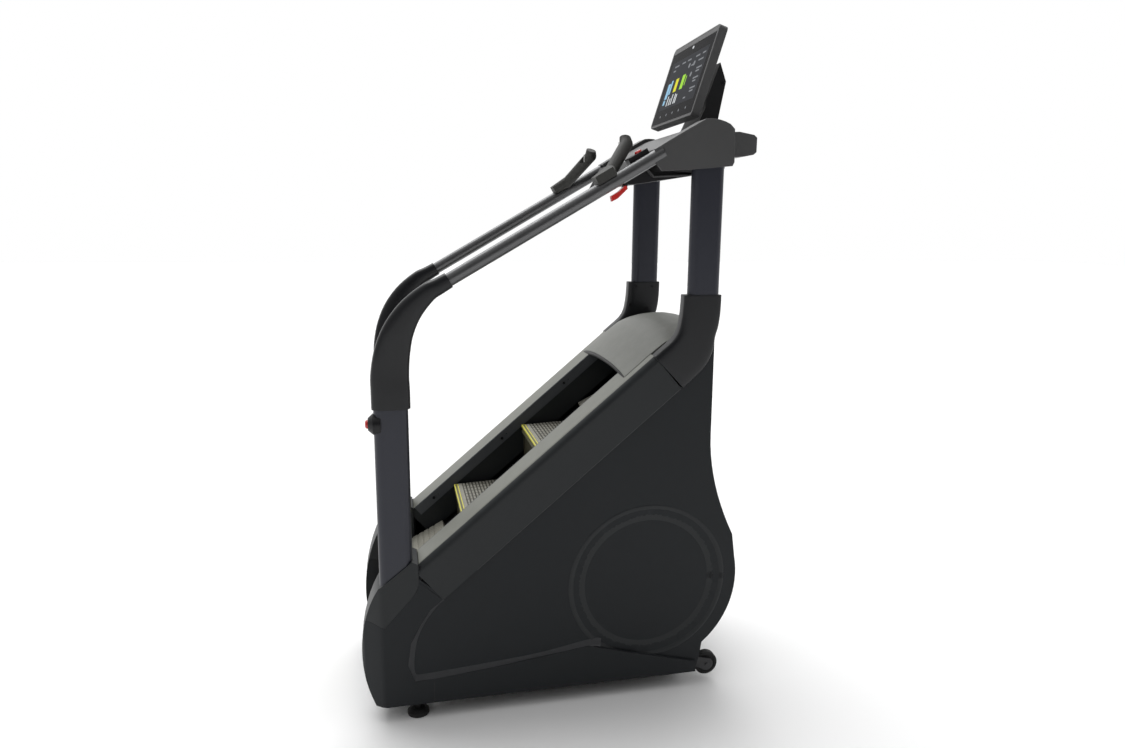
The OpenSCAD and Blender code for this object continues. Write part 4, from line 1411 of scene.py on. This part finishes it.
def build_lights(s):
    sun = bpy.data.lights.new("soft_sun", "SUN")
    sun.energy = s.key
    sun.angle = math.radians(50)
    obj = new_object("soft_sun", sun)
    obj.rotation_euler = Vector((0.55, 0.1, -1)).to_track_quat("-Z", "Y").to_euler()
    for name, spot, aim, size, power in (
        ("right_front", (3.4, -3.2, 2.6), (0, 0, 0.9), 3.5, s.fill),
        ("rear", (1.5, 4.2, 2.6), (0, 0, 1.0), 3.0, s.fill),
    ):
        lamp = bpy.data.lights.new(name, "AREA")
        lamp.shape = "DISK"
        lamp.size = size
        lamp.energy = power
        obj = new_object(name, lamp)
        obj.location = spot
        obj.rotation_euler = (Vector(aim) - Vector(spot)).to_track_quat("-Z", "Y").to_euler()


def build_world(context):
    """White behind the object, and a soft light that comes mostly from above and from the left."""
    world = bpy.data.worlds.new("studio")
    context.scene.world = world
    world.use_nodes = True
    t = world.node_tree
    t.nodes.clear()
    out = node(t, "ShaderNodeOutputWorld")
    place_n = node(t, "ShaderNodeTexCoord")
    split = node(t, "ShaderNodeSeparateXYZ")
    t.links.new(place_n.outputs["Generated"], split.inputs[0])
    lean = maths(
        t, "ADD", maths(t, "MULTIPLY", split.outputs["X"], -0.75),
        maths(t, "MULTIPLY", split.outputs["Z"], 0.75)
    )
    level = remap(t, lean, -0.4, 0.7, 0.07, 1.2)
    ambient = node(t, "ShaderNodeBackground")
    t.links.new(level, ambient.inputs["Strength"])
    seen = node(t, "ShaderNodeBackground")
    put(seen, Color=(1, 1, 1, 1), Strength=1.0)
    path = node(t, "ShaderNodeLightPath")
    mix = node(t, "ShaderNodeMixShader")
    t.links.new(path.outputs["Is Camera Ray"], mix.inputs[0])
    t.links.new(ambient.outputs[0], mix.inputs[1])
    t.links.new(seen.outputs[0], mix.inputs[2])
    t.links.new(mix.outputs[0], out.inputs[0])
    context.scene.view_settings.view_transform = "Standard"
    context.scene.view_settings.look = "None"


class MACHINE_OT_stage(bpy.types.Operator):
    """Camera, floor and studio light"""

    bl_idname = "machine.stage"
    bl_label = "Stage"

    def execute(self, context):
        settings = context.scene.machine_stage
        build_camera(context)
        build_floor(settings)
        build_lights(settings)
        build_world(context)
        return {"FINISHED"}


class MACHINE_PT_panel(bpy.types.Panel):
    """Lists the pieces and their settings"""

    bl_label = "Stair climber"
    bl_idname = "MACHINE_PT_panel"
    bl_space_type = "VIEW_3D"
    bl_region_type = "UI"
    bl_category = "Stair climber"

    def draw(self, context):
        for cls in OPERATORS:
            self.layout.operator(cls.bl_idname)
        for group in (
            context.scene.machine_finish, context.scene.machine_shape, context.scene.machine_stage
        ):
            box = self.layout.box()
            for key in group.__annotations__:
                box.prop(group, key)


OPERATORS = (
    MACHINE_OT_stage,
    MACHINE_OT_materials,
    MACHINE_OT_shells,
    MACHINE_OT_plain,
    MACHINE_OT_sleeves,
    MACHINE_OT_display,
    MACHINE_OT_noses,
    MACHINE_OT_screws,
)
CLASSES = (FinishSettings, ShapeSettings, StageSettings, *OPERATORS, MACHINE_PT_panel)


def register():
    for cls in CLASSES:
        bpy.utils.register_class(cls)
    bpy.types.Scene.machine_finish = PointerProperty(type=FinishSettings)
    bpy.types.Scene.machine_shape = PointerProperty(type=ShapeSettings)
    bpy.types.Scene.machine_stage = PointerProperty(type=StageSettings)


def unregister():
    del bpy.types.Scene.machine_finish
    del bpy.types.Scene.machine_shape
    del bpy.types.Scene.machine_stage
    for cls in reversed(CLASSES):
        bpy.utils.unregister_class(cls)


def main():
    register()
    for cls in OPERATORS:
        group, name = cls.bl_idname.split(".")
        getattr(getattr(bpy.ops, group), name)()


if __name__ == "__main__":
    main()
